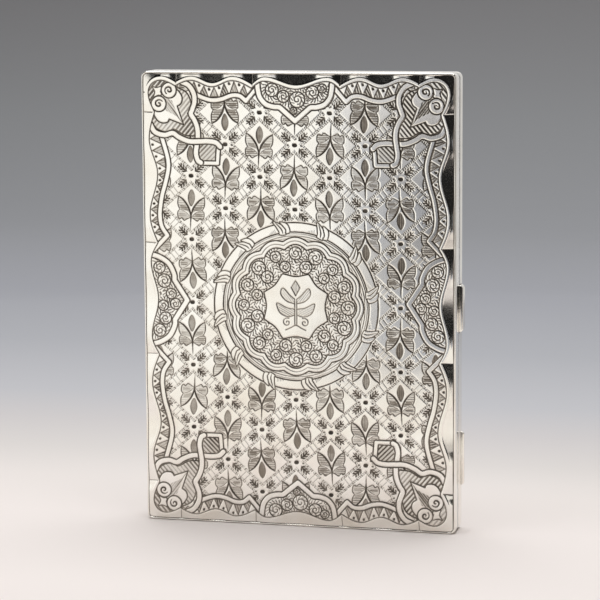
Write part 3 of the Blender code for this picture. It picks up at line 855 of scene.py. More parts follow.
@dataclass
class Medallion:
    """The round centre: a leaf-tied wreath, a double scalloped line, a ring of scrolls and a reserve."""

    middle: tuple[float, float] = (-0.25, -0.85)
    wreath: float = 17.75
    wreath_width: float = 2.1
    ties: int = 12
    lobes: int = 16

    def polar(self, base: float, swing: float, lobes: int, inward: bool = False) -> np.ndarray:
        """A closed line of lobes: its radius is the base plus a swing times |cos| of half the lobes' angle.

        Turned inward, the same wave is taken from the swing, so the cusps point out.

        Args:
            base: The least radius, in mm.
            swing: How much it grows.
            lobes: How many lobes.
            inward: Whether the cusps point out.

        Returns:
            The line's points.
        """
        turn = np.linspace(0, 2 * np.pi, 361)[:-1]
        wave = np.abs(np.cos(lobes / 2 * turn))
        radius = base + swing * ((1 - wave) if inward else wave)
        return np.array(self.middle) + radius[:, None] * np.stack([np.cos(turn), np.sin(turn)], 1)

    def around(self, points: list | np.ndarray, turn: float) -> np.ndarray:
        """Carries (distance along the wreath, radius) points to the face, at an angle.

        Args:
            points: The points, one row each.
            turn: The angle, in radians.

        Returns:
            The points on the face.
        """
        p = np.asarray(points, float)
        angle = turn + p[:, 0] / self.wreath
        return np.array(self.middle) + p[:, 1:] * np.stack([np.cos(angle), np.sin(angle)], 1)

    def engrave(self, plate: Plate, reserve: bool = True) -> None:
        """Cuts the medallion.

        Args:
            plate: The face.
            reserve: Whether the plain reserve holds the leaf ornament.
        """
        outer, inner = self.wreath + self.wreath_width / 2, self.wreath - self.wreath_width / 2
        plate.field(ring(self.middle, outer + 0.35, 72), None)
        for i, radius in enumerate(np.arange(15.3, inner, 0.5)):
            plate.stroke(ring(self.middle, radius, 72), Graver(0.18, 0.05, 0.42 + 0.25 * (i % 2)))
        plate.strap(ring(self.middle, self.wreath, 72), self.wreath_width)
        plate.field(self.polar(14.75, 0.8, self.lobes), BOLD)
        plate.field(self.polar(13.85, 0.85, self.lobes), FINE)
        edge = self.polar(12.85, 1.05, self.lobes)
        plate.field(edge, BOLD)
        step = 2 * math.pi / self.lobes
        coils = [(*self.around([(0, 11.95)], i * step)[0], 1.6 - 0.16 * (i % 3)) for i in range(self.lobes)]
        step = 2 * math.pi / 12
        coils += [(*self.around([(0, 9.15)], (i + 0.5) * step)[0], 1.42 - 0.15 * (i % 2)) for i in range(12)]
        scrollwork(plate, edge, coils)
        plate.field(self.polar(6.75, 1.15, 8, inward=True), BOLD)
        for i in range(self.ties):
            self.tie(plate, (i + 0.35) * 2 * math.pi / self.ties)
        if reserve:
            self.ornament(plate)

    def tie(self, plate: Plate, turn: float) -> None:
        """Cuts one leaf wrapped over the wreath, with its shadow beside it.

        Args:
            plate: The face.
            turn: Where round the wreath, in radians.
        """
        low, high = self.wreath - self.wreath_width / 2, self.wreath + self.wreath_width / 2
        for i in range(5):
            s = 1.5 + 0.34 * i
            reach = 0.75 - 0.13 * i
            plate.stroke(self.around([(s, low + 0.15), (s + 0.1, low + 0.15 + reach)], turn), FINE, 0.4)
        blades = (
            [(-1.0, low - 0.5), (-1.1, 17.3), (-0.2, 18.5), (1.5, high + 0.8), (1.1, 18.2), (0.7, 17.0),
             (0.6, low - 0.4)],
            [(-1.9, low - 0.1), (-1.9, 17.6), (-1.3, 18.7), (0.1, high + 0.4), (-0.4, 18.2), (-1.0, 17.2),
             (-0.9, low - 0.3)],
        )
        for blade in blades:
            plate.field(self.around(curve(blade, True, 4), turn), LINE)
        plate.stroke(self.around(curve([(-0.2, low - 0.2), (0.0, 17.5), (1.0, high + 0.3)]), turn), LINE, 0.4)

    def ornament(self, plate: Plate) -> None:
        """Cuts a generic leaf ornament: a lozenge bud over paired leaves and curls, the same left and right.

        Args:
            plate: The face.
        """
        tool = Graver(0.24, 0.05, 0.62)
        place = Place(self.middle[0], self.middle[1] + 0.1)
        plate.stroke(place([(-0.22, -4.4), (-0.22, 1.2)]), tool)
        plate.stroke(place([(0.22, -4.4), (0.22, 1.2)]), tool)
        bud = [(0, 5.7), (1.0, 4.1), (0, 2.3), (-1.0, 4.1)]
        plate.stroke(place(bud + bud[:1]), tool)
        plate.hatch(place(bud), math.pi / 2, 0.4, Graver(0.2, 0.04, 0.5), 0.2)
        plate.stroke(place(curve([(-2.3, -5.4), (-1.2, -4.9), (0, -4.3), (1.2, -4.9), (2.3, -5.4)])), tool)
        for side in (-1, 1):
            upper = curve([(0.2, 1.5), (1.3, 2.4), (2.9, 4.0), (3.4, 2.6), (2.1, 1.1), (0.2, 0.5)], steps=5)
            lower = [(0.2, -0.7), (2.1, -0.4), (4.3, 0.6), (3.7, -1.5), (1.9, -2.4), (0.2, -2.0)]
            lower = curve(lower, steps=5)
            for leaf in (upper, lower):
                plate.stroke(place(leaf * (side, 1)), tool)
            plate.hatch(place(lower * (side, 1)), 0.5 * side, 0.42, Graver(0.2, 0.03, 0.42), 0.12)
            plate.hatch(place(upper * (side, 1)), 0.9 * side, 0.42, Graver(0.2, 0.03, 0.42), 0.12)
            plate.stroke(place(spiral((side * 2.0, -3.7), 1.05, 1.3, 2.0 if side > 0 else 1.14, -side)), tool)


@dataclass
class Face:
    """One engraved face: the whole design on a grid of one step, with or without its centre ornament."""

    step: float
    reserve: bool = True

    def engrave(self) -> Plate:
        """Cuts the design, from the field outwards.

        Returns:
            The finished face.
        """
        plate = Plate(self.step)
        Diaper().engrave(plate)
        Medallion().engrave(plate, self.reserve)
        Borders().engrave(plate)
        for sx, sz in QUARTERS:
            Corner().engrave(plate, sx, sz)
        Shields().engrave(plate)
        rim = field_outline(0.7)
        window, gap = plate.inside(rim)
        keep = np.zeros_like(plate.cut)
        keep[window] = np.clip(0.5 - gap / plate.step, 0, 1)
        plate.cut *= keep
        plate.tone *= keep
        plate.stroke(np.concatenate([rim, rim[:1]]), LINE)
        # The oxide is moved one grid step left and down from its cut, as painted shade on that side: the upper
        # right flank is left bare silver to catch real glints, and the dark lies on the lower left flank and
        # spills a step past the cut.
        plate.tone = np.roll(plate.tone, (-1, -1), (0, 1))
        # Oxide left in the crease inside the rim's bead.
        inset = np.minimum(HALF_W - np.abs(plate.x)[None, :], HALF_H - np.abs(plate.z)[:, None])
        plate.tone = np.maximum(plate.tone, 0.95 * np.clip((0.62 - inset) / plate.step, 0, 1))
        for sx, sz in QUARTERS:
            for side in Side:
                for at, inset, kind in side.knots:
                    if kind == "cusp":
                        plate.stroke(side.place([(at, 0.6), (at + 0.1, inset + 0.1)], sx, sz), LINE, 0.5)
        return plate


# ---- finishes


def linear(code: str) -> tuple[float, float, float, float]:
    """Turns an sRGB hex colour into a linear RGBA one."""
    parts = [int(code.lstrip("#")[i : i + 2], 16) / 255 for i in (0, 2, 4)]
    return (*[p / 12.92 if p <= 0.04045 else ((p + 0.055) / 1.055) ** 2.4 for p in parts], 1.0)


def add(tree: bpy.types.NodeTree, kind: str, inputs: dict | None = None,
        **settings: object) -> bpy.types.Node:
    """Adds a node with its settings, values and links.

    Args:
        tree: The material's nodes.
        kind: The node's type, without the ShaderNode before it.
        inputs: What each input takes, by name or number: a value, or another node's output.
        settings: The node's own properties.

    Returns:
        The node.
    """
    made = tree.nodes.new(f"ShaderNode{kind}")
    for name, value in settings.items():
        setattr(made, name, value)
    for name, value in (inputs or {}).items():
        if isinstance(value, bpy.types.NodeSocket):
            tree.links.new(value, made.inputs[name])
        else:
            made.inputs[name].default_value = value
    return made


def ramp(tree: bpy.types.NodeTree, source: bpy.types.NodeSocket,
         stops: Iterable[tuple]) -> bpy.types.NodeSocket:
    """A colour ramp from (place, colour) stops, where a colour is hex or a grey level.

    Args:
        tree: The material's nodes.
        source: What the ramp reads.
        stops: The stops.

    Returns:
        The ramp's colour.
    """
    made = add(tree, "ValToRGB", {"Fac": source})
    for i, (place, colour) in enumerate(stops):
        stop = made.color_ramp.elements[i] if i < 2 else made.color_ramp.elements.new(place)
        stop.position = place
        stop.color = linear(colour) if isinstance(colour, str) else (colour, colour, colour, 1.0)
    return made.outputs["Color"]


def mix(tree: bpy.types.NodeTree, share: object, a: object, b: object) -> bpy.types.NodeSocket:
    """Blends two colours.

    Args:
        tree: The material's nodes.
        share: How much of the second colour: a number or an output.
        a: The first colour.
        b: The second colour.

    Returns:
        The blend.
    """
    made = add(tree, "Mix", data_type="RGBA")
    for socket, value in ((made.inputs[0], share), (made.inputs[6], a), (made.inputs[7], b)):
        if isinstance(value, bpy.types.NodeSocket):
            tree.links.new(value, socket)
        else:
            socket.default_value = value
    return made.outputs[2]


def begin(name: str) -> tuple[bpy.types.Material, bpy.types.NodeTree, bpy.types.Node, bpy.types.NodeSocket]:
    """Starts a finish on a new material.

    Args:
        name: The finish's name.

    Returns:
        Its material, nodes, Principled shader and Object coordinates.
    """
    material = bpy.data.materials.new(name)
    material.use_nodes = True
    tree = material.node_tree
    place = add(tree, "TexCoord").outputs["Object"]
    return material, tree, tree.nodes["Principled BSDF"], place


@dataclass(frozen=True)
class Silver:
    """Sterling silver, burnished and then worn by years of polishing cloths.

    What gives it to the eye: a near-white metal, a soft-edged mirror, hair scratches in two directions, and
    on an engraved face dark brown-grey oxide left in the cuts, where no cloth reaches.

    Args:
        name: The finish's name.
        engraved: Whether the face carries cuts, with their darkness in the mesh's "tone" attribute.
        roughness: The burnished surface's roughness.
    """

    name: str
    engraved: bool = False
    roughness: float = 0.13
    bright: str = "#F8F6F1"
    warm: str = "#EFE9DF"
    stain: str = "#8C8378"
    oxide: str = "#1F1B18"

    def make(self) -> bpy.types.Material:
        """Builds the finish.

        Returns:
            Its material.
        """
        material, tree, shader, place = begin(self.name)
        shader.inputs["Metallic"].default_value = 1.0
        # Clouds of faint tarnish, 9 mm across.
        cloud = add(tree, "TexNoise", {"Vector": place, "Scale": 110.0, "Detail": 3.0, "Roughness": 0.55})
        base = mix(tree, ramp(tree, cloud.outputs["Fac"], ((0.35, 0.0), (0.75, 1.0))), linear(self.bright),
                   linear(self.warm))
        rough = add(tree, "MapRange", {"Value": cloud.outputs["Fac"], "From Min": 0.3, "From Max": 0.7,
                                       "To Min": self.roughness - 0.025, "To Max": self.roughness + 0.04})
        rough = rough.outputs["Result"]
        if self.engraved:
            tone = add(tree, "Attribute", attribute_name="tone").outputs["Fac"]
            # Oxide is patchy: thicker in some cuts than others, over 2 mm.
            patch = add(tree, "TexNoise", {"Vector": place, "Scale": 480.0, "Detail": 2.0})
            thick = add(tree, "MapRange", {"Value": patch.outputs["Fac"], "From Min": 0.3, "From Max": 0.7,
                                           "To Min": 0.72, "To Max": 0.98}).outputs["Result"]
            share = add(tree, "Math", {0: tone, 1: thick}, operation="MULTIPLY", use_clamp=True).outputs[0]
            # Shallow cuts are only stained brown; deep ones are full of dark oxide.
            stain = add(tree, "Math", {0: share, 1: 2.0}, operation="MULTIPLY", use_clamp=True).outputs[0]
            deep = add(tree, "MapRange", {"Value": share, "From Min": 0.5, "From Max": 1.0}).outputs["Result"]
            base = mix(tree, deep, mix(tree, stain, base, linear(self.stain)), linear(self.oxide))
            rough = add(tree, "MapRange", {"Value": share, "To Min": rough, "To Max": 0.42}).outputs["Result"]
            metal = add(tree, "MapRange", {"Value": share, "To Min": 1.0, "To Max": 0.7}).outputs["Result"]
            tree.links.new(metal, shader.inputs["Metallic"])
        tree.links.new(base, shader.inputs["Base Color"])
        tree.links.new(rough, shader.inputs["Roughness"])
        # Hair scratches: noise drawn out 40 times along one direction, in two directions, 0.15 mm apart.
        hairs = []
        for turn in (0.5, -1.1):
            lie = add(tree, "Mapping", {"Vector": place, "Rotation": (0.0, turn, 0.0),
                                        "Scale": (6500.0, 900.0, 160.0)})
            hair = add(tree, "TexNoise", {"Vector": lie.outputs[0], "Scale": 1.0, "Detail": 1.0})
            hairs.append(hair.outputs["Fac"])
        height = add(tree, "Math", dict(enumerate(hairs)), operation="ADD").outputs[0]
        bump = add(tree, "Bump", {"Height": height, "Strength": 0.06, "Distance": 0.00002})
        tree.links.new(bump.outputs[0], shader.inputs["Normal"])
        return material


@dataclass(frozen=True)
class Gilt:
    """Silver gilt: a thin wash of gold over silver, soft and a little cloudy where it has worn.

    Args:
        name: The finish's name.
    """

    name: str = "silver_gilt_wash"

    def make(self) -> bpy.types.Material:
        """Builds the finish.

        Returns:
            Its material.
        """
        material, tree, shader, place = begin(self.name)
        shader.inputs["Metallic"].default_value = 1.0
        cloud = add(tree, "TexNoise", {"Vector": place, "Scale": 160.0, "Detail": 4.0, "Roughness": 0.6})
        gold = ramp(tree, cloud.outputs["Fac"], ((0.3, "#E9C47A"), (0.55, "#E3B965"), (0.8, "#EBD9B0")))
        tree.links.new(gold, shader.inputs["Base Color"])
        rough = add(tree, "MapRange", {"Value": cloud.outputs["Fac"], "To Min": 0.2, "To Max": 0.36})
        tree.links.new(rough.outputs["Result"], shader.inputs["Roughness"])
        lie = add(tree, "Mapping", {"Vector": place, "Scale": (900.0, 900.0, 120.0)})
        grain = add(tree, "TexNoise", {"Vector": lie.outputs[0], "Scale": 4.0, "Detail": 2.0})
        bump = add(tree, "Bump", {"Height": grain.outputs["Fac"], "Strength": 0.08, "Distance": 0.00003})
        tree.links.new(bump.outputs[0], shader.inputs["Normal"])
        return material


@dataclass(frozen=True)
class SpringSteel:
    """Polished carbon spring steel with rolling lines along it and a straw-to-brown temper tint.

    Args:
        name: The finish's name.
    """

    name: str = "tempered_spring_steel"

    def make(self) -> bpy.types.Material:
        """Builds the finish.

        Returns:
            Its material.
        """
        material, tree, shader, place = begin(self.name)
        shader.inputs["Metallic"].default_value = 1.0
        cloud = add(tree, "TexNoise", {"Vector": place, "Scale": 140.0, "Detail": 3.0})
        tint = ramp(tree, cloud.outputs["Fac"], ((0.35, "#9B9EA3"), (0.6, "#8B8A88"), (0.8, "#857A68")))
        tree.links.new(tint, shader.inputs["Base Color"])
        lie = add(tree, "Mapping", {"Vector": place, "Scale": (4000.0, 4000.0, 90.0)})
        lines = add(tree, "TexNoise", {"Vector": lie.outputs[0], "Scale": 1.0, "Detail": 2.0})
        rough = add(tree, "MapRange", {"Value": lines.outputs["Fac"], "To Min": 0.22, "To Max": 0.42})
        tree.links.new(rough.outputs["Result"], shader.inputs["Roughness"])
        bump = add(tree, "Bump", {"Height": lines.outputs["Fac"], "Strength": 0.12, "Distance": 0.00002})
        tree.links.new(bump.outputs[0], shader.inputs["Normal"])
        return material


@dataclass(frozen=True)
class Silk:
    """Watered (moire) silk, or ribbed silk ribbon: fine crosswise ribs, crushed to ripple like wood grain.

    Args:
        name: The finish's name.
        deep: The cloth's colour; on the ribbon it is also painted shade in the troughs between the ribs.
        light: Its colour where the ribs are crushed flat; on the ribbon it is a painted highlight on the ribs'
            crests.
        rib: The ribs' spacing, in mm. Real ribs are near 0.15 mm; drawn coarser so that they show.
        watered: Whether the ribs are crushed into a water mark.
    """

    name: str
    deep: str = "#19255E"
    light: str = "#2A3C88"
    rib: float = 0.3
    watered: bool = True

    def make(self) -> bpy.types.Material:
        """Builds the finish.

        Returns:
            Its material.
        """
        material, tree, shader, place = begin(self.name)
        # Ribs run across the case, so they are counted along Z.
        pitch = math.pi / 10 / (self.rib * MM)
        ribs = add(tree, "TexWave", {"Vector": place, "Scale": pitch, "Distortion": 0.3}, bands_direction="Z")
        colour = linear(self.deep)
        if self.watered:
            lie = add(tree, "Mapping", {"Vector": place, "Scale": (45.0, 45.0, 190.0)})
            mark = add(tree, "TexWave", {"Vector": lie.outputs[0], "Scale": 1.3, "Distortion": 12.0,
                                         "Detail": 4.0, "Detail Scale": 1.3}, bands_direction="Z")
            share = ramp(tree, mark.outputs["Fac"], ((0.05, 0.0), (1.0, 1.0)))
            tree.links.new(mix(tree, share, colour, linear(self.light)), shader.inputs["Base Color"])
            rough = add(tree, "MapRange", {"Value": share, "To Min": 0.55, "To Max": 0.34}).outputs["Result"]
            tree.links.new(rough, shader.inputs["Roughness"])
        else:
            # On the ribbon the colour follows the rib wave: painted shade in the troughs and a painted highlight
            # on the crests.
            shade = ramp(tree, ribs.outputs["Fac"], ((0.2, self.deep), (0.8, self.light)))
            tree.links.new(shade, shader.inputs["Base Color"])
            shader.inputs["Roughness"].default_value = 0.45
        shader.inputs["Sheen Weight"].default_value = 0.4
        shader.inputs["Sheen Roughness"].default_value = 0.4
        bump = add(tree, "Bump", {"Height": ribs.outputs["Fac"], "Strength": 0.35, "Distance": 0.00004})
        tree.links.new(bump.outputs[0], shader.inputs["Normal"])
        return material


# ---- mesh making


def make_mesh(name: str, points: np.ndarray, faces: list | np.ndarray, finishes: list[bpy.types.Material],
              slots: np.ndarray | None = None, sharp: float | None = 40.0) -> bpy.types.Object:
    """Turns points and faces into an object at the origin, shaded smooth but for sharp edges.

    Args:
        name: The piece's name.
        points: Its points in mm, in the case's frame.
        faces: Its faces, as rows of point numbers.
        finishes: Its materials.
        slots: Which material each face has, if not the first.
        sharp: The angle in degrees over which an edge stays sharp, or None to leave every edge smooth.

    Returns:
        The object.
    """
    mesh = bpy.data.meshes.new(name)
    faces = faces if isinstance(faces, list) else faces.tolist()
    mesh.from_pydata((np.asarray(points) * MM).tolist(), [], faces)
    for finish in finishes:
        mesh.materials.append(finish)
    if slots is not None:
        mesh.polygons.foreach_set("material_index", np.asarray(slots, np.int32))
    mesh.shade_smooth()
    if sharp is not None:
        mesh.set_sharp_from_angle(angle=math.radians(sharp))
    mesh.update()
    made = bpy.data.objects.new(name, mesh)
    bpy.context.scene.collection.objects.link(made)
    return made


def loft(rings: np.ndarray, closed: bool = False) -> list[list[int]]:
    """The faces that join each ring of points to the next, with a cap at both ends unless it is closed.

    Args:
        rings: The points, ring by ring.
        closed: Whether the last ring joins the first.

    Returns:
        The faces.
    """
    count, around = rings.shape[:2]
    index = np.arange(count * around).reshape(count, around)
    low, high = index, np.roll(index, -1, 0)
    if not closed:
        low, high = index[:-1], index[1:]
    quads = np.stack([low, np.roll(low, -1, 1), np.roll(high, -1, 1), high], -1).reshape(-1, 4).tolist()
    return quads if closed else quads + [index[0][::-1].tolist(), index[-1].tolist()]


def outward(made: bpy.types.Object) -> bpy.types.Object:
    """Turns a closed mesh's faces outwards: if they enclose less than zero volume, all are flipped.

    Args:
        made: The closed piece.

    Returns:
        The same piece.
    """
    mesh = made.data
    mesh.calc_loop_triangles()
    corners = np.zeros(len(mesh.loop_triangles) * 3, np.int32)
    mesh.loop_triangles.foreach_get("vertices", corners)
    places = np.zeros(len(mesh.vertices) * 3)
    mesh.vertices.foreach_get("co", places)
    a, b, c = (places.reshape(-1, 3)[corners.reshape(-1, 3)[:, i]] for i in range(3))
    if float(np.einsum("ij,ij->i", a, np.cross(b, c)).sum()) < 0:
        mesh.flip_normals()
    return made


def lofted(name: str, rings: np.ndarray, finish: bpy.types.Material, sharp: float,
           closed: bool = False) -> bpy.types.Object:
    """Builds a closed piece from rings of points.

    Args:
        name: The piece's name.
        rings: The points in mm, ring by ring.
        finish: Its material.
        sharp: The angle in degrees over which an edge stays sharp.
        closed: Whether the last ring joins the first.

    Returns:
        The piece.
    """
    return outward(make_mesh(name, rings.reshape(-1, 3), loft(rings, closed), [finish], None, sharp))


def carve(made: bpy.types.Object, cutters: list[bpy.types.Object]) -> None:
    """Subtracts closed shapes from a piece for good, and removes them.

    Args:
        made: The piece.
        cutters: The closed shapes.
    """
    for cutter in cutters:
        modifier = made.modifiers.new("carve", "BOOLEAN")
        modifier.operation, modifier.solver, modifier.object = "DIFFERENCE", "EXACT", cutter
    bpy.context.view_layer.update()
    cut = bpy.data.meshes.new_from_object(made.evaluated_get(bpy.context.evaluated_depsgraph_get()))
    made.modifiers.clear()
    made.data = cut
    for cutter in cutters:
        bpy.data.objects.remove(cutter)


def block_faces(columns: int, rows: int) -> np.ndarray:
    """The faces of a grid of points, numbered row by row."""
    index = np.arange(columns * rows).reshape(rows, columns)
    return np.stack([index[:-1, :-1], index[:-1, 1:], index[1:, 1:], index[1:, :-1]], -1).reshape(-1, 4)


def round_off(x: np.ndarray, z: np.ndarray, size: tuple[float, float],
              corner: float) -> tuple[np.ndarray, np.ndarray]:
    """Draws the corners of a square grid in to round ones.

    Round the middle of a corner's arc, a point keeps the larger of its two distances as its true distance.

    Args:
        x: The grid's x.
        z: The grid's z.
        size: Half the grid's width and half its height.
        corner: The corners' radius.

    Returns:
        The moved x and z.
    """
    dx, dz = np.abs(x) - (size[0] - corner), np.abs(z) - (size[1] - corner)
    bend = (dx > 0) & (dz > 0)
    pull = np.where(bend, np.maximum(dx, dz) / np.maximum(np.hypot(dx, dz), 1e-9), 1.0)
    moved = np.where(bend, np.sign(x) * (size[0] - corner + dx * pull), x)
    return moved, np.where(bend, np.sign(z) * (size[1] - corner + dz * pull), z)


def rounded_rectangle(half_width: float, half_height: float, corner: float, steps: int) -> np.ndarray:
    """A closed line round a rectangle with round corners, from its middle.

    Args:
        half_width: Half its width.
        half_height: Half its height.
        corner: The corners' radius.
        steps: The points in each corner.

    Returns:
        The line's points.
    """
    turn = np.linspace(0, np.pi / 2, steps)
    parts = []
    for i, (sx, sz) in enumerate(((1, 1), (-1, 1), (-1, -1), (1, -1))):
        angle = turn + i * np.pi / 2
        middle = np.array([sx * (half_width - corner), sz * (half_height - corner)])
        parts.append(middle + corner * np.stack([np.cos(angle), np.sin(angle)], 1))
    return np.concatenate(parts)


def rounded_loop(inset: float, corner: float) -> np.ndarray:
    """A line round the case, as (x, z): four straight runs joined by quarter circles.

    The count of points is the same for every inset, so loops can be lofted.

    Args:
        inset: How far in from the outline, in mm.
        corner: The outline's corner radius.

    Returns:
        The line's points.
    """
    radius = max(corner - inset, 0.06)
    return rounded_rectangle(HALF_W - inset, HALF_H - inset, radius, 10) + (0.0, HALF_H)


def arc(centre: tuple[float, float], radius: float, start: float, end: float, steps: int) -> list[tuple]:
    """Points along an arc, between two angles in degrees."""
    turns = np.radians(np.linspace(start, end, steps))
    return [(centre[0] + radius * math.cos(t), centre[1] + radius * math.sin(t)) for t in turns]


def lathe(profile: list[tuple[float, float]], axis: tuple[float, float], around: int = 40) -> np.ndarray:
    """Turns a (height, radius) profile about an upright axis: each point becomes a circle at its height.

    Args:
        profile: The (height, radius) points.
        axis: The axis's x and y.
        around: How many points each circle has.

    Returns:
        The points, ring by ring.
    """
    turn = np.linspace(0, 2 * np.pi, around, endpoint=False)
    p = np.asarray(profile, float)
    x = axis[0] + p[:, 1:] * np.cos(turn)
    y = axis[1] + p[:, 1:] * np.sin(turn)
    return np.stack([x, y, np.broadcast_to(p[:, :1], x.shape)], -1)


# ---- the pieces


@dataclass
class Tray:
    """One half of the case: a shallow silver tray with a rounded rim, gilt inside, carrying an engraved face.

    side is -1 for the front and 1 for the back. step is the engraved face's grid spacing in mm, and blocks
    is how many pieces it is cut into. beaten holds its waves, as (height, x rate, z rate, phase)."""

    name: str
    body: str
    side: int
    step: float
    blocks: tuple[int, int]
    reserve: bool
    corner: float = 1.3
    rim: float = 0.28
    crest: float = 3.72
    hinge: tuple[float, float] = (-35.85, 0.0)
    groove: float = 0.85
    hinge_span: tuple[float, float] = (3.85, 98.15)
    slope: float = 0.165
    beaten: tuple = (
        (0.016, 0.16, 0.07, 0.4), (0.012, -0.09, 0.19, 1.9), (0.006, 0.41, 0.33, 0.7),
        (0.004, -0.52, 0.61, 2.6),
    )

    def build(self, silver: bpy.types.Material, gilt: bpy.types.Material) -> bpy.types.Object:
        """Builds the tray: a profile carried round the case, from the inner floor over the rim.

        Args:
            silver: The finish outside.
            gilt: The finish inside.

        Returns:
            The tray.
        """
        inner = [(0.7 + 0.4, 3.3), (0.86, 3.24), (0.74, 3.1), (0.7, 2.9), (0.7, 0.14), (0.63, 0.07)]
        outer = [(0.08, 0.07), (0.02, 0.1), (0.0, 0.16), (0.0, self.crest - self.rim)]
        bead = arc((self.rim, self.crest - self.rim), self.rim, 180, 90, 8)[1:]
        under = [(0.36, self.crest - 0.01), (0.43, self.crest - 0.08), (0.47, self.crest - 0.2), (0.5, 3.38)]
        profile = inner + outer + bead + under
        rings = np.stack([np.insert(rounded_loop(inset, self.corner), 1, self.side * depth, 1)
                          for inset, depth in profile])
        faces = loft(rings)
        around = rings.shape[1]
        slots = np.zeros(len(faces), np.int32)
        slots[: (len(inner) - 1) * around] = 1
        slots[-2] = 1
        made = outward(make_mesh(self.name, rings.reshape(-1, 3), faces, [silver, gilt], slots, None))
        carve(made, self.cutters())
        made.data.shade_smooth()
        made.data.set_sharp_from_angle(angle=math.radians(38))
        return made

    def cutters(self) -> list[bpy.types.Object]:
        """The shapes cut out of the tray: the hinge's groove, and in the back the push button's slot.

        Returns:
            The shapes.
        """
        low, high = self.hinge_span
        groove = lathe([(low, self.groove), (high, self.groove)], self.hinge, 48)
        shapes = [outward(make_mesh("groove", groove.reshape(-1, 3), loft(groove), []))]
        if self.side > 0:
            slot = np.array([(-1.0, 44.6), (2.8, 44.6), (2.8, 55.4), (-1.0, 55.4)])
            rings = np.stack([np.insert(slot, 0, x, 1) for x in (34.4, 36.4)])
            shapes.append(outward(make_mesh("slot", rings.reshape(-1, 3), loft(rings), [])))
        return shapes

    def relief(self, plate: Plate) -> np.ndarray:
        """How far the engraved face lies below the raised field, in mm, at each grid point.

        Outside the lobed edge the metal falls away towards the rim as a flat facet: by the slope times the
        distance from the edge. Inside the rim's bead it drops into a crease, by half a cosine wave.
        The raised field also waves very slightly, by a few sines, as beaten silver does.

        Args:
            plate: The engraved face.

        Returns:
            The depths.
        """
        x, z = np.broadcast_arrays(plate.x[None, :], plate.z[:, None])
        from_side, from_end = HALF_W - np.abs(x), HALF_H - np.abs(z)
        near_end = from_end < from_side
        edge = np.where(near_end, lobed(from_side, SHORT_KNOTS), lobed(from_end, LONG_KNOTS))
        rim = np.minimum(from_side, from_end)
        out = edge - rim
        turned = np.hypot(START - from_side, START - from_end) - CORNER_TURN
        out = np.where((from_side < START) & (from_end < START), turned, out)
        bevel = 0.05 * np.clip(out / 0.22, 0, 1)
        # The facets are steepest in the dips of the lobed edge and die out at its crests.
        steep = np.sin(np.pi / 2 * np.clip((edge - 1.25) / 0.9, 0, 1))
        crease = 0.34 * (0.5 - 0.5 * np.cos(np.pi * np.clip((0.62 - rim) / 0.2, 0, 1)))
        fall = np.maximum(bevel + self.slope * steep * np.clip(out, 0, None), crease)
        waves = 0.0
        for size, ax, az, phase in self.beaten:
            waves = waves + size * np.sin(ax * x + az * z + phase)
        return np.minimum(fall + plate.cut + waves * (out < 0) * np.clip(-out / 2, 0, 1), 0.56)

    def faces(self, silver: bpy.types.Material) -> list[bpy.types.Object]:
        """Builds the engraved face, in blocks that each stay under the limit on triangles.

        Args:
            silver: The engraved finish.

        Returns:
            The blocks.
        """
        plate = Face(self.step, self.reserve).engrave()
        depth = self.relief(plate)
        slope_z, slope_x = np.gradient(depth, plate.z, plate.x)
        normals = np.stack([slope_x, np.full(depth.shape, float(self.side)), slope_z], -1)
        normals /= np.linalg.norm(normals, axis=-1, keepdims=True)
        made = []
        columns = np.linspace(0, len(plate.x) - 1, self.blocks[0] + 1).round().astype(int)
        rows = np.linspace(0, len(plate.z) - 1, self.blocks[1] + 1).round().astype(int)
        for c0, c1 in zip(columns[:-1], columns[1:]):
            for r0, r1 in zip(rows[:-1], rows[1:]):
                part = (slice(r0, r1 + 1), slice(c0, c1 + 1))
                name = f"{self.name.split('_')[0]}_engraved_face_{len(made) + 1}"
                made.append(self.block(name, plate, part, depth[part], normals[part], silver))
        return made

    def block(self, name: str, plate: Plate, part: tuple, depth: np.ndarray, normals: np.ndarray,
              silver: bpy.types.Material) -> bpy.types.Object:
        """Builds one block: the relief's grid, four narrow sides and one flat face behind.

        Args:
            name: The piece's name.
            plate: The engraved face.
            part: The block's rows and columns.
            depth: The relief there.
            normals: The relief's normals there.
            silver: The engraved finish.

        Returns:
            The block.
        """
        rows, columns = depth.shape
        x, z = round_off(*np.meshgrid(plate.x[part[1]], plate.z[part[0]]), (HALF_W, HALF_H), self.corner)
        top = np.stack([x, self.side * (HALF_D - depth), z + HALF_H], -1).reshape(-1, 3)
        index = np.arange(rows * columns).reshape(rows, columns)
        edge = np.concatenate([index[0, :-1], index[:-1, -1], index[-1, :0:-1], index[:0:-1, 0]])
        back = top[edge].copy()
        back[:, 1] = self.side * 3.41
        under = len(top) + np.arange(len(edge))
        sides = np.stack([np.roll(edge, -1), edge, under, np.roll(under, -1)], 1)
        grid = block_faces(columns, rows)
        faces = grid.tolist() + sides.tolist() + [under[::-1].tolist()]
        if self.side > 0:
            faces = [f[::-1] for f in faces]
        made = make_mesh(name, np.concatenate([top, back]), faces, [silver], None, None)
        behind = np.zeros((len(edge), 3))
        behind[:, 1] = -self.side
        normals = np.concatenate([normals.reshape(-1, 3), behind])
        made.data.normals_split_custom_set_from_vertices(normals.tolist())
        dark = np.concatenate([plate.tone[part].ravel(), np.zeros(len(edge))])
        tone = made.data.attributes.new("tone", "FLOAT", "POINT")
        tone.data.foreach_set("value", dark.astype(np.float32))
        return made


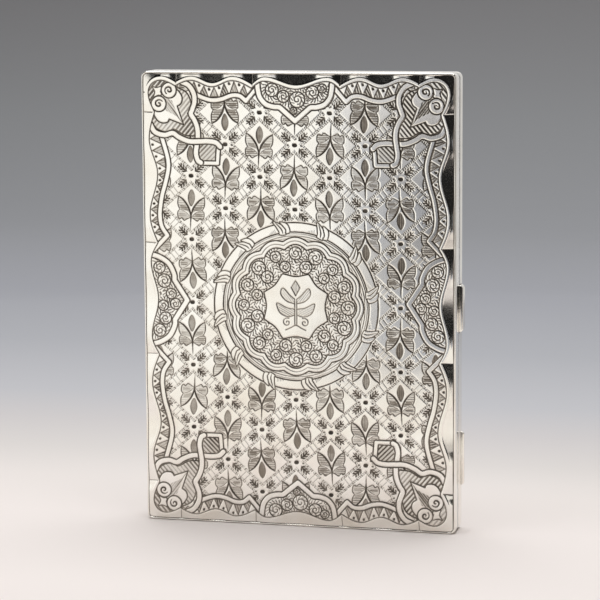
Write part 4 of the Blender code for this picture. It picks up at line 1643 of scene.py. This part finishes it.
def shell(front: np.ndarray, back: np.ndarray) -> tuple[np.ndarray, list]:
    """Joins two grids of points, a face and the back behind it, into one closed skin with a narrow edge.

    Args:
        front: The face's points, by row and column.
        back: The back's points, in the same order.

    Returns:
        All points, and the faces.
    """
    rows, columns = front.shape[:2]
    index = np.arange(rows * columns).reshape(rows, columns)
    edge = np.concatenate([index[0, :-1], index[:-1, -1], index[-1, :0:-1], index[:0:-1, 0]])
    behind = edge + rows * columns
    faces = [
        block_faces(columns, rows),
        block_faces(columns, rows)[:, ::-1] + rows * columns,
        np.stack([np.roll(edge, -1), edge, behind, np.roll(behind, -1)], 1),
    ]
    return np.concatenate([front.reshape(-1, 3), back.reshape(-1, 3)]), np.concatenate(faces).tolist()


def panel(size: tuple[float, float], corner: float, counts: tuple[int, int]) -> tuple[np.ndarray, ...]:
    """A grid over a rectangle with round corners, centred on nothing.

    Args:
        size: Half its width and half its height.
        corner: The corner's radius.
        counts: How many points across and up.

    Returns:
        x, z and the distance from the edge at each point.
    """
    x, z = np.meshgrid(np.linspace(-1, 1, counts[0]) * size[0], np.linspace(-1, 1, counts[1]) * size[1])
    inside = np.minimum(size[0] - np.abs(x), size[1] - np.abs(z))
    return *round_off(x, z, size, corner), inside


@dataclass
class Interior:
    """The silk inside: two padded linings, a slip pocket in the front half, a ribbon band in the back."""

    lining: tuple[float, float] = (34.1, 49.3)
    lining_middle: tuple[float, float] = (-0.4, 51.0)
    lining_back: float = 3.25
    lining_thick: float = 0.5
    pocket_x: tuple[float, float] = (-33.2, 32.4)
    pocket_z: tuple[float, float] = (3.2, 63.0)
    pocket_dip: float = 7.0
    pocket_y: tuple[float, float] = (-2.7, -2.2)
    band_x: float = 31.5
    band_z: tuple[float, float] = (44.0, 58.0)
    band_y: tuple[float, float] = (2.28, 2.66)
    stitch: float = 1.5

    def pad(self, name: str, side: int, silk: bpy.types.Material) -> bpy.types.Object:
        """Builds a padded lining: a quarter-ellipse roll at its edge, then a low sine crown.

        Args:
            name: The piece's name.
            side: -1 for the front half, 1 for the back.
            silk: Its finish.

        Returns:
            The lining.
        """
        x, z, inside = panel(self.lining, 2.0, (70, 100))
        roll = np.sqrt(np.clip(1 - (1 - np.clip(inside / 1.6, 0, 1)) ** 2, 0, 1))
        crown = np.sin(np.clip(inside / 12, 0, 1) * np.pi / 2)
        ripple = 0.05 * np.sin(x * 0.31 + 0.6) * np.sin(z * 0.23 + side) * crown
        height = 0.06 + (self.lining_thick - 0.06) * (0.72 * roll + 0.2 * crown) + ripple * 0.5
        x, z = x + self.lining_middle[0], z + self.lining_middle[1]
        front = np.stack([x, side * (self.lining_back - height), z], -1)
        back = np.stack([x, np.full(x.shape, side * self.lining_back), z], -1)
        return outward(make_mesh(name, *shell(front, back), [silk], None, 60))

    def mouth(self, x: np.ndarray) -> np.ndarray:
        """The pocket's upper edge, which dips as half a sine wave."""
        share = (x - self.pocket_x[0]) / (self.pocket_x[1] - self.pocket_x[0])
        return self.pocket_z[1] - self.pocket_dip * np.sin(np.pi * share)

    def pocket(self, silk: bpy.types.Material) -> bpy.types.Object:
        """Builds the slip pocket: a thin sheet that bellies a little off the lining between its sewn edges.

        Args:
            silk: Its finish.

        Returns:
            The pocket.
        """
        u, v = np.meshgrid(np.linspace(0, 1, 66), np.linspace(0, 1, 60))
        x = self.pocket_x[0] + (self.pocket_x[1] - self.pocket_x[0]) * u
        z = self.pocket_z[0] + (self.mouth(x) - self.pocket_z[0]) * v
        belly = 0.26 * np.sin(np.pi * u) ** 0.6 * np.sin(np.pi / 2 * v) ** 0.8 + 0.02 * np.sin(9 * u + 5 * v)
        y = self.pocket_y[0] + 0.16 + np.clip(belly, 0, 0.3)
        front, back = np.stack([x, y, z], -1), np.stack([x, y - 0.14, z], -1)
        return outward(make_mesh("slip_pocket_silk", *shell(front, back), [silk], None, 60))

    def binding(self, ribbon: bpy.types.Material) -> bpy.types.Object:
        """Builds the cord sewn along the pocket's mouth: a round section carried along its edge.

        Args:
            ribbon: Its finish.

        Returns:
            The binding.
        """
        x = np.linspace(self.pocket_x[0] + 0.1, self.pocket_x[1] - 0.1, 90)
        share = (x - self.pocket_x[0]) / (self.pocket_x[1] - self.pocket_x[0])
        z = self.mouth(x)
        y = self.pocket_y[0] + 0.1 + np.clip(0.26 * np.sin(np.pi * share) ** 0.6, 0, 0.3)
        slope = np.gradient(z, x)
        length = np.hypot(1, slope)
        turn = np.linspace(0, 2 * np.pi, 11)[:-1]
        radius = 0.24 * (1 - 0.12 * np.cos(np.arange(len(x)) * 2.1))[:, None]
        out = radius * np.cos(turn)
        rings = np.stack([x[:, None] - out * (slope / length)[:, None], y[:, None] + radius * np.sin(turn),
                          z[:, None] - 0.2 + out / length[:, None]], -1)
        return lofted("slip_pocket_binding", rings, ribbon, 70)

    def stitches(self, thread: bpy.types.Material) -> bpy.types.Object:
        """Builds the running stitches down both sides and along the foot of the pocket, one small grain each.

        Args:
            thread: Their finish.

        Returns:
            The stitches, as one piece.
        """
        low, high = self.pocket_z
        left, right = self.pocket_x[0] + 0.7, self.pocket_x[1] - 0.7
        side = np.arange(low + 1.5, high - 1.5, self.stitch)
        foot = np.arange(left + 1.0, right - 1.0, self.stitch)
        places = [(x, z, 1) for x in (left, right) for z in side] + [(x, low + 0.7, 0) for x in foot]
        turn = np.linspace(0, 2 * np.pi, 7)[:-1]
        points, faces = [], []
        for x, z, upright in places:
            run = np.array([-0.5, -0.25, 0.25, 0.5])[:, None]
            radius = np.array([0.05, 0.12, 0.12, 0.05])[:, None]
            along, out, deep = run + 0 * turn, radius * np.cos(turn), radius * np.sin(turn)
            a, b = (out, along) if upright else (along, out)
            rings = np.stack([x + a, self.pocket_y[0] + 0.2 + deep, z + b], -1)
            faces += [[i + len(points) * 24 for i in face] for face in loft(rings)]
            points.append(rings.reshape(-1, 3))
        made = make_mesh("slip_pocket_stitches", np.concatenate(points), faces, [thread], None, 60)
        return outward(made)

    def band(self, ribbon: bpy.types.Material) -> bpy.types.Object:
        """Builds the ribbon band: cross ribs as a cosine along it, bowed up a little between its tucked ends.

        Args:
            ribbon: Its finish.

        Returns:
            The band.
        """
        u, v = np.meshgrid(np.linspace(-1, 1, 253), np.linspace(0, 1, 14))
        x = self.band_x * u
        z = self.band_z[0] + (self.band_z[1] - self.band_z[0]) * v
        ribs = 0.025 * np.cos(x * 2 * np.pi)
        bow = 0.16 * np.cos(np.pi / 2 * np.abs(u) ** 3) + 0.03 * np.cos(np.pi * (v - 0.5))
        y = self.band_y[1] - 0.05 - bow + ribs
        front, back = np.stack([x, y - 0.09, z], -1), np.stack([x, y + 0.09, z], -1)
        return outward(make_mesh("ribbon_card_band", *shell(front, back), [ribbon], None, 60))

    def build(self, silk: bpy.types.Material, ribbon: bpy.types.Material) -> None:
        """Builds the inside and puts each piece on its body.

        Args:
            silk: The finish of the linings and the pocket.
            ribbon: The finish of the band, the binding and the thread.
        """
        for name, side, body in (("front_lining", -1, "case_front"), ("back_lining", 1, "case_back")):
            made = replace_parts(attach(self.pad(f"{name}_silk", side, silk), body), name)
        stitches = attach(self.stitches(ribbon), "case_front")
        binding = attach(self.binding(ribbon), "case_front")
        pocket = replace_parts(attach(self.pocket(silk), "case_front"), "slip_pocket")
        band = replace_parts(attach(self.band(ribbon), "case_back"), "card_band")


@dataclass
class Hinge:
    """The hinge down the left side: seven knuckles on a pin, four on the back half and three on the front."""

    axis: tuple[float, float] = (-35.85, 0.0)
    radius: float = 0.75
    bore: float = 0.35
    edge: float = 0.1
    pin_radius: float = 0.3
    pin_span: tuple[float, float] = (4.15, 97.85)

    def knuckle(self, name: str, silver: bpy.types.Material) -> bpy.types.Object:
        """Builds one knuckle: a tube whose outer edges are rounded over a quarter circle.

        Args:
            name: The CAD node that it stands for.
            silver: Its finish.

        Returns:
            The knuckle.
        """
        low, high = (corner.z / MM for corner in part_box(name))
        outer = self.radius - self.edge
        edge = self.edge
        bend = [(edge * (1 - math.cos(t)), outer + edge * math.sin(t)) for t in (0.4, 0.8, 1.2, 1.57)]
        profile = [(low, self.bore), (low, outer), *[(low + step, reach) for step, reach in bend],
                   *[(high - step, reach) for step, reach in bend[::-1]], (high, outer), (high, self.bore)]
        return lofted(f"{name}_turned", lathe(profile, self.axis, 48), silver, 50, True)

    def pin(self, silver: bpy.types.Material) -> bpy.types.Object:
        """Builds the pin, with low domed ends.

        Args:
            silver: Its finish.

        Returns:
            The pin.
        """
        low, high = self.pin_span
        r = self.pin_radius
        profile = [(low, r * 0.3), (low + 0.03, r * 0.7), (low + 0.1, r * 0.93), (low + 0.2, r),
                   (high - 0.2, r), (high - 0.1, r * 0.93), (high - 0.03, r * 0.7), (high, r * 0.3)]
        return lofted("hinge_pin_drawn", lathe(profile, self.axis, 24), silver, 60)

    def build(self, silver: bpy.types.Material) -> None:
        """Builds the hinge and puts each piece on its body.

        Args:
            silver: The finish.
        """
        for count, body in ((4, "back"), (3, "front")):
            for i in range(1, count + 1):
                name = f"hinge_knuckle_{body}_{i}"
                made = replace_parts(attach(self.knuckle(name, silver), f"case_{body}"), name)
        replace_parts(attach(self.pin(silver), "case_back"), "hinge_pin")


def slab(name: str, low: tuple, high: tuple, corner: float, edge: float,
         finish: bpy.types.Material) -> bpy.types.Object:
    """Builds a block on the case's right side whose two outer corners are round, seen from the front.

    Its outline is carried from front to back, drawn in over a quarter circle at each end.

    Args:
        name: The piece's name.
        low: Its least x, y and z, in mm.
        high: Its greatest.
        corner: The outer corners' radius.
        edge: The radius of the edges round its front and back.
        finish: Its material.

    Returns:
        The piece.
    """
    bend = np.linspace(0, math.pi / 2, 6)
    start = [(edge * (1 - math.sin(t)), low[1] + edge * (1 - math.cos(t))) for t in bend]
    profile = start + [(inset, low[1] + high[1] - y) for inset, y in start[::-1]]
    turn = np.linspace(0, np.pi / 2, 12)
    rings = []
    for inset, y in profile:
        r = corner - inset
        x, bottom, top = high[0] - corner, low[2] + corner, high[2] - corner
        line = np.concatenate([
            [(low[0], low[2] + inset)],
            np.stack([x + r * np.sin(turn), bottom - r * np.cos(turn)], 1),
            np.stack([x + r * np.cos(turn), top + r * np.sin(turn)], 1),
            [(low[0], high[2] - inset)],
        ])
        rings.append(np.insert(line, 1, y, 1))
    return lofted(name, np.stack(rings), finish, 40)


@dataclass
class Catch:
    """The push-button catch on the right side: the button, the leaf spring behind it and its two rivets."""

    button: tuple = ((34.98, 0.25, 44.75), (36.60, 2.65, 55.25), 0.9, 0.16)
    lip: tuple = ((35.8, 2.5, 10.0), (36.5, 3.3, 22.0), 0.6, 0.14)
    spring_x: tuple[float, float] = (34.03, 34.43)
    spring_y: tuple[float, float] = (0.45, 2.65)
    spring_z: tuple[float, float] = (12.0, 56.0)
    rivet_x: tuple[float, float] = (33.68, 34.93)

    def spring(self, steel: bpy.types.Material) -> bpy.types.Object:
        """Builds the leaf spring: a strip with rounded edges that narrows towards its free end.

        Args:
            steel: Its finish.

        Returns:
            The spring.
        """
        u = np.linspace(0, 1, 89)
        z = self.spring_z[0] + (self.spring_z[1] - self.spring_z[0]) * u
        middle, half = sum(self.spring_y) / 2, (self.spring_y[1] - self.spring_y[0]) / 2
        taper = 1 - 0.22 * np.clip((u - 0.3) / 0.6, 0, 1)
        width = half * taper * np.sqrt(np.clip(np.minimum(u, 1 - u) * 60, 0.2, 1))
        x0, thick = sum(self.spring_x) / 2, (self.spring_x[1] - self.spring_x[0]) / 2
        section = rounded_rectangle(1.0, thick, 0.16, 4)
        across, out = section.T
        rings = np.stack(np.broadcast_arrays(x0 + out, middle + across * width[:, None], z[:, None]), -1)
        return lofted("catch_spring_leaf", rings, steel, 50)

    def rivet(self, name: str, steel: bpy.types.Material) -> bpy.types.Object:
        """Builds one rivet: a domed head on the spring and a shank into the wall.

        Args:
            name: The CAD node that it stands for.
            steel: Its finish.

        Returns:
            The rivet.
        """
        low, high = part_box(name)
        y, z = (low.y + high.y) / 2 / MM, (low.z + high.z) / 2 / MM
        r = (high.z - low.z) / 2 / MM
        inner, outer = self.rivet_x
        head = [(inner + 0.34 * (1 - math.sin(t)), r * math.cos(t)) for t in np.linspace(1.35, 0, 8)]
        profile = [*head, (inner + 0.35, r * 0.62), (outer, r * 0.6)]
        turned = lathe(profile, (0.0, 0.0), 28)
        rings = np.stack([turned[..., 2], y + turned[..., 0], z + turned[..., 1]], -1)
        return lofted(f"{name}_domed", rings, steel, 50)

    def build(self, silver: bpy.types.Material, steel: bpy.types.Material) -> None:
        """Builds the catch and puts each piece but the spring on its body; the spring stays free of the bodies.

        Args:
            silver: The button's and lip's finish.
            steel: The spring's and rivets' finish.
        """
        button = slab("push_button_polished", *self.button, silver)
        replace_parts(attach(button, "button"), "push_button")
        lip = slab("thumb_lip_polished", *self.lip, silver)
        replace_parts(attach(lip, "case_back"), "thumb_lip")
        spring = self.spring(steel)
        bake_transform(spring)
        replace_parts(spring, "catch_spring")
        for name in ("spring_rivet_1", "spring_rivet_2"):
            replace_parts(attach(self.rivet(name, steel), "case_back"), name)


# ---- stage and camera


def glowing_sheet(name: str, points: np.ndarray, colour: str, glow: float) -> None:
    """Makes a glowing sheet that only the case's reflections show.

    Args:
        name: Its name.
        points: Its points in metres, in two rows.
        colour: Its colour, in sRGB hex.
        glow: Its radiance.
    """
    material = bpy.data.materials.new(name)
    material.use_nodes = True
    tree = material.node_tree
    tree.nodes.clear()
    light = add(tree, "Emission", {"Color": linear(colour), "Strength": glow})
    add(tree, "OutputMaterial", {"Surface": light.outputs[0]})
    made = make_mesh(name, points / MM, block_faces(len(points) // 2, 2), [material])
    made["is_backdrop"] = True
    made.visible_camera = made.visible_diffuse = made.visible_shadow = False


@dataclass(frozen=True)
class Card:
    """A studio card: a curved upright sheet, seen only in the case's reflections. Black ones are flags.

    turn is the span round the case in degrees, counted from the front towards the right. z is the span of
    heights and radius the distance, in metres. glow is its radiance."""

    name: str
    turn: tuple[float, float]
    z: tuple[float, float]
    radius: float
    glow: float
    colour: str = "#FFFFFF"

    def make(self) -> None:
        """Builds the card as part of a cylinder about the case."""
        turn = np.radians(np.linspace(*self.turn, 9))[None, :]
        z = np.array(self.z)[:, None] + 0 * turn
        x, y = self.radius * np.sin(turn) + 0 * z, -self.radius * np.cos(turn) + 0 * z
        glowing_sheet(self.name, np.stack([x, y, z], -1).reshape(-1, 3), self.colour, self.glow)


@dataclass(frozen=True)
class Board:
    """A glowing board on the floor in front of the case, for the lower half of its face to reflect.

    x and y are its spans in metres, and glow its radiance."""

    name: str
    x: tuple[float, float]
    y: tuple[float, float]
    glow: float
    colour: str

    def make(self) -> None:
        """Lays the board a millimetre over the floor."""
        points = np.array([(x, y, MM) for y in self.y for x in self.x])
        glowing_sheet(self.name, points, self.colour, self.glow)


@dataclass(frozen=True)
class Studio:
    """The stage: a paper sweep whose colour carries a painted falloff of light, a soft light overhead, and cards
    and flags round the case.
    """

    wall: float = 0.80
    bend: float = 0.25
    front: float = -1.3
    half_width: float = 1.4
    top: float = 1.3
    softbox_side: float = 1.0
    softbox_height: float = 1.1
    softbox_glow: float = 4.55
    # Colour stops along the sweep: the paper's own pale grey, darkened with distance as painted falloff of light.
    paper: tuple = (
        (0.0, "#EEE6E2"), (0.03, "#E6DFDB"), (0.06, "#D6D1CE"), (0.09, "#CAC6C6"), (0.125, "#BCBCC0"),
        (0.2, "#ACADB2"), (0.3, "#A3A4AA"), (0.45, "#9FA0A4"), (0.61, "#8F9092"), (0.72, "#7F7E7F"),
    )

    def sweep(self) -> None:
        """Builds the paper: flat, then a quarter circle, then upright, carried straight across. Its colour is the
        paper's pale grey with a painted falloff of light: pale and warm by the case, darker and greyer farther
        back.
        """
        start = self.wall - self.bend
        bent = [(y, z) for y, z in arc((start, self.bend), self.bend, -90, 0, 14)]
        line = np.array([(self.front, 0.0), (-0.4, 0.0), (0.0, 0.0), *bent, (self.wall, self.top)])
        edges = np.array([[-self.half_width], [self.half_width]])
        points = np.stack(np.broadcast_arrays(edges, line[:, 0], line[:, 1]), -1)
        material, tree, shader, place = begin("studio_paper_painted_falloff")
        parts = add(tree, "SeparateXYZ", {"Vector": place})
        # Painted falloff of light: the colour darkens with y plus z, the distance along the sweep.
        far = add(tree, "Math", {0: parts.outputs["Y"], 1: parts.outputs["Z"]}, operation="ADD").outputs[0]
        share = add(tree, "MapRange", {"Value": far, "From Min": 0.0, "From Max": 1.2}).outputs["Result"]
        tree.links.new(ramp(tree, share, self.paper), shader.inputs["Base Color"])
        shader.inputs["Roughness"].default_value = 0.85
        shader.inputs["Specular IOR Level"].default_value = 0.2
        faces = block_faces(len(line), 2)
        make_mesh("studio_sweep", points.reshape(-1, 3) / MM, faces, [material], None, None)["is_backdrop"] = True

    def cards(self) -> tuple[Card, ...]:
        """Every card and flag."""
        return (
            Card("card_front_left", (-75, -11.0), (0.0, 0.15), 0.30, 1.08, "#FFFEFA"),
            Card("card_grey", (-11.0, -4.3), (0.0, 0.066), 0.30, 0.5, "#EEF1FA"),
            Card("card_pale", (-11.0, -4.3), (0.066, 0.15), 0.30, 0.78, "#F4F4F8"),
            Card("flag_front", (-4.3, 48), (0.0, 0.15), 0.30, 0.012),
            Card("flag_high", (-80, 48), (0.15, 0.62), 0.30, 0.008),
            Card("card_right", (52, 118), (-0.01, 0.5), 0.45, 0.74, "#FFFBF6"),
            Card("card_edge", (150, 172), (-0.01, 0.4), 0.38, 0.66, "#FBFAF8"),
            Card("card_back", (172, 235), (-0.01, 0.4), 0.38, 0.9, "#FBFAF8"),
            Card("card_left", (-125, -85), (-0.01, 0.4), 0.45, 0.6, "#F4F6FA"),
        )

    def boards(self) -> tuple[Board, ...]:
        """Every board on the floor."""
        return (
            Board("board_1", (-0.2, 0.07), (-0.197, -0.085), 0.98, "#FFFBF4"),
            Board("board_2", (-0.3, -0.046), (-0.299, -0.1975), 1.03, "#FFFDF8"),
            Board("board_3", (-0.0455, 0.03), (-0.299, -0.1975), 0.5, "#EEF1FA"),
        )

    def build(self) -> None:
        """Builds the sweep, the softbox, the cards and the boards, and sets the dim room light."""
        self.sweep()
        light = bpy.data.lights.new("softbox", "AREA")
        light.shape = "RECTANGLE"
        light.size = light.size_y = self.softbox_side
        light.energy = self.softbox_glow * self.softbox_side**2 * math.pi
        made = bpy.data.objects.new("softbox", light)
        made.location = (0.0, 0.05, self.softbox_height)
        bpy.context.scene.collection.objects.link(made)
        for sheet in (*self.cards(), *self.boards()):
            sheet.make()
        world = bpy.data.worlds.new("studio")
        world.use_nodes = True
        world.node_tree.nodes["Background"].inputs["Color"].default_value = (0.1, 0.1, 0.1, 1.0)
        bpy.context.scene.world = world


@dataclass(frozen=True)
class Viewpoint:
    """Where the camera stands, in metres, and which way it faces: its turn to the right, its height above the
    level and its roll, in degrees."""

    place: tuple[float, float, float] = (0.136586, -0.534256, 0.12985)
    turn: float = 14.381
    rise: float = 8.14
    roll: float = -0.36
    lens: float = 149.4

    def make(self) -> None:
        """Makes the camera and hands it to the scene."""
        a, e = math.radians(self.turn), math.radians(self.rise)
        back = Vector((math.sin(a) * math.cos(e), -math.cos(a) * math.cos(e), math.sin(e)))
        data = bpy.data.cameras.new("studio_camera")
        data.lens, data.sensor_width, data.clip_start, data.clip_end = self.lens, 36.0, 0.01, 50.0
        made = bpy.data.objects.new("studio_camera", data)
        bpy.context.scene.collection.objects.link(made)
        turned = back.to_track_quat("Z", "Y").to_matrix() @ Matrix.Rotation(math.radians(self.roll), 3, "Z")
        made.matrix_world = Matrix.Translation(Vector(self.place)) @ turned.to_4x4()
        bpy.context.scene.camera = made
        bpy.context.scene.view_settings.view_transform = "Standard"


def clean() -> None:
    """Drops whatever a fresh Blender starts with."""
    for made in list(bpy.data.objects):
        bpy.data.objects.remove(made)


def main() -> None:
    """Builds the camera, the stage and the case, and logs each piece."""
    clean()
    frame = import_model()
    Viewpoint().make()
    Studio().build()
    silver = Silver("burnished_silver").make()
    engraved = Silver("engraved_silver", engraved=True).make()
    gilt, steel = Gilt().make(), SpringSteel().make()
    silk = Silk("watered_silk").make()
    ribbon = Silk("ribbed_silk_ribbon", "#22317A", "#3D54AC", 0.5, False).make()
    trays = (
        Tray("front_tray", "case_front", -1, FRONT_STEP, (2, 4), True),
        Tray("back_tray", "case_back", 1, BACK_STEP, (2, 2), False),
    )
    for tray in trays:
        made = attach(tray.build(silver, gilt), tray.body)
        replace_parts(made, tray.name.replace("tray", "cover"))
        for face in tray.faces(engraved):
            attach(face, tray.body)
    Interior().build(silk, ribbon)
    Hinge().build(silver)
    Catch().build(silver, steel)
    for name, finish in (("inner_bezel", gilt), ("button_flange", silver), ("catch_hook", silver),
                         ("catch_keeper", gilt)):
        node = frame["nodes"][name]
        node.data.materials.clear()
        node.data.materials.append(finish)
    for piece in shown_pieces():
        LOG.info("%s: %d faces", piece.name, len(piece.data.polygons))
    bpy.context.view_layer.update()


FRONT_STEP = 0.12
BACK_STEP = 0.17

if __name__ == "__main__":
    main()
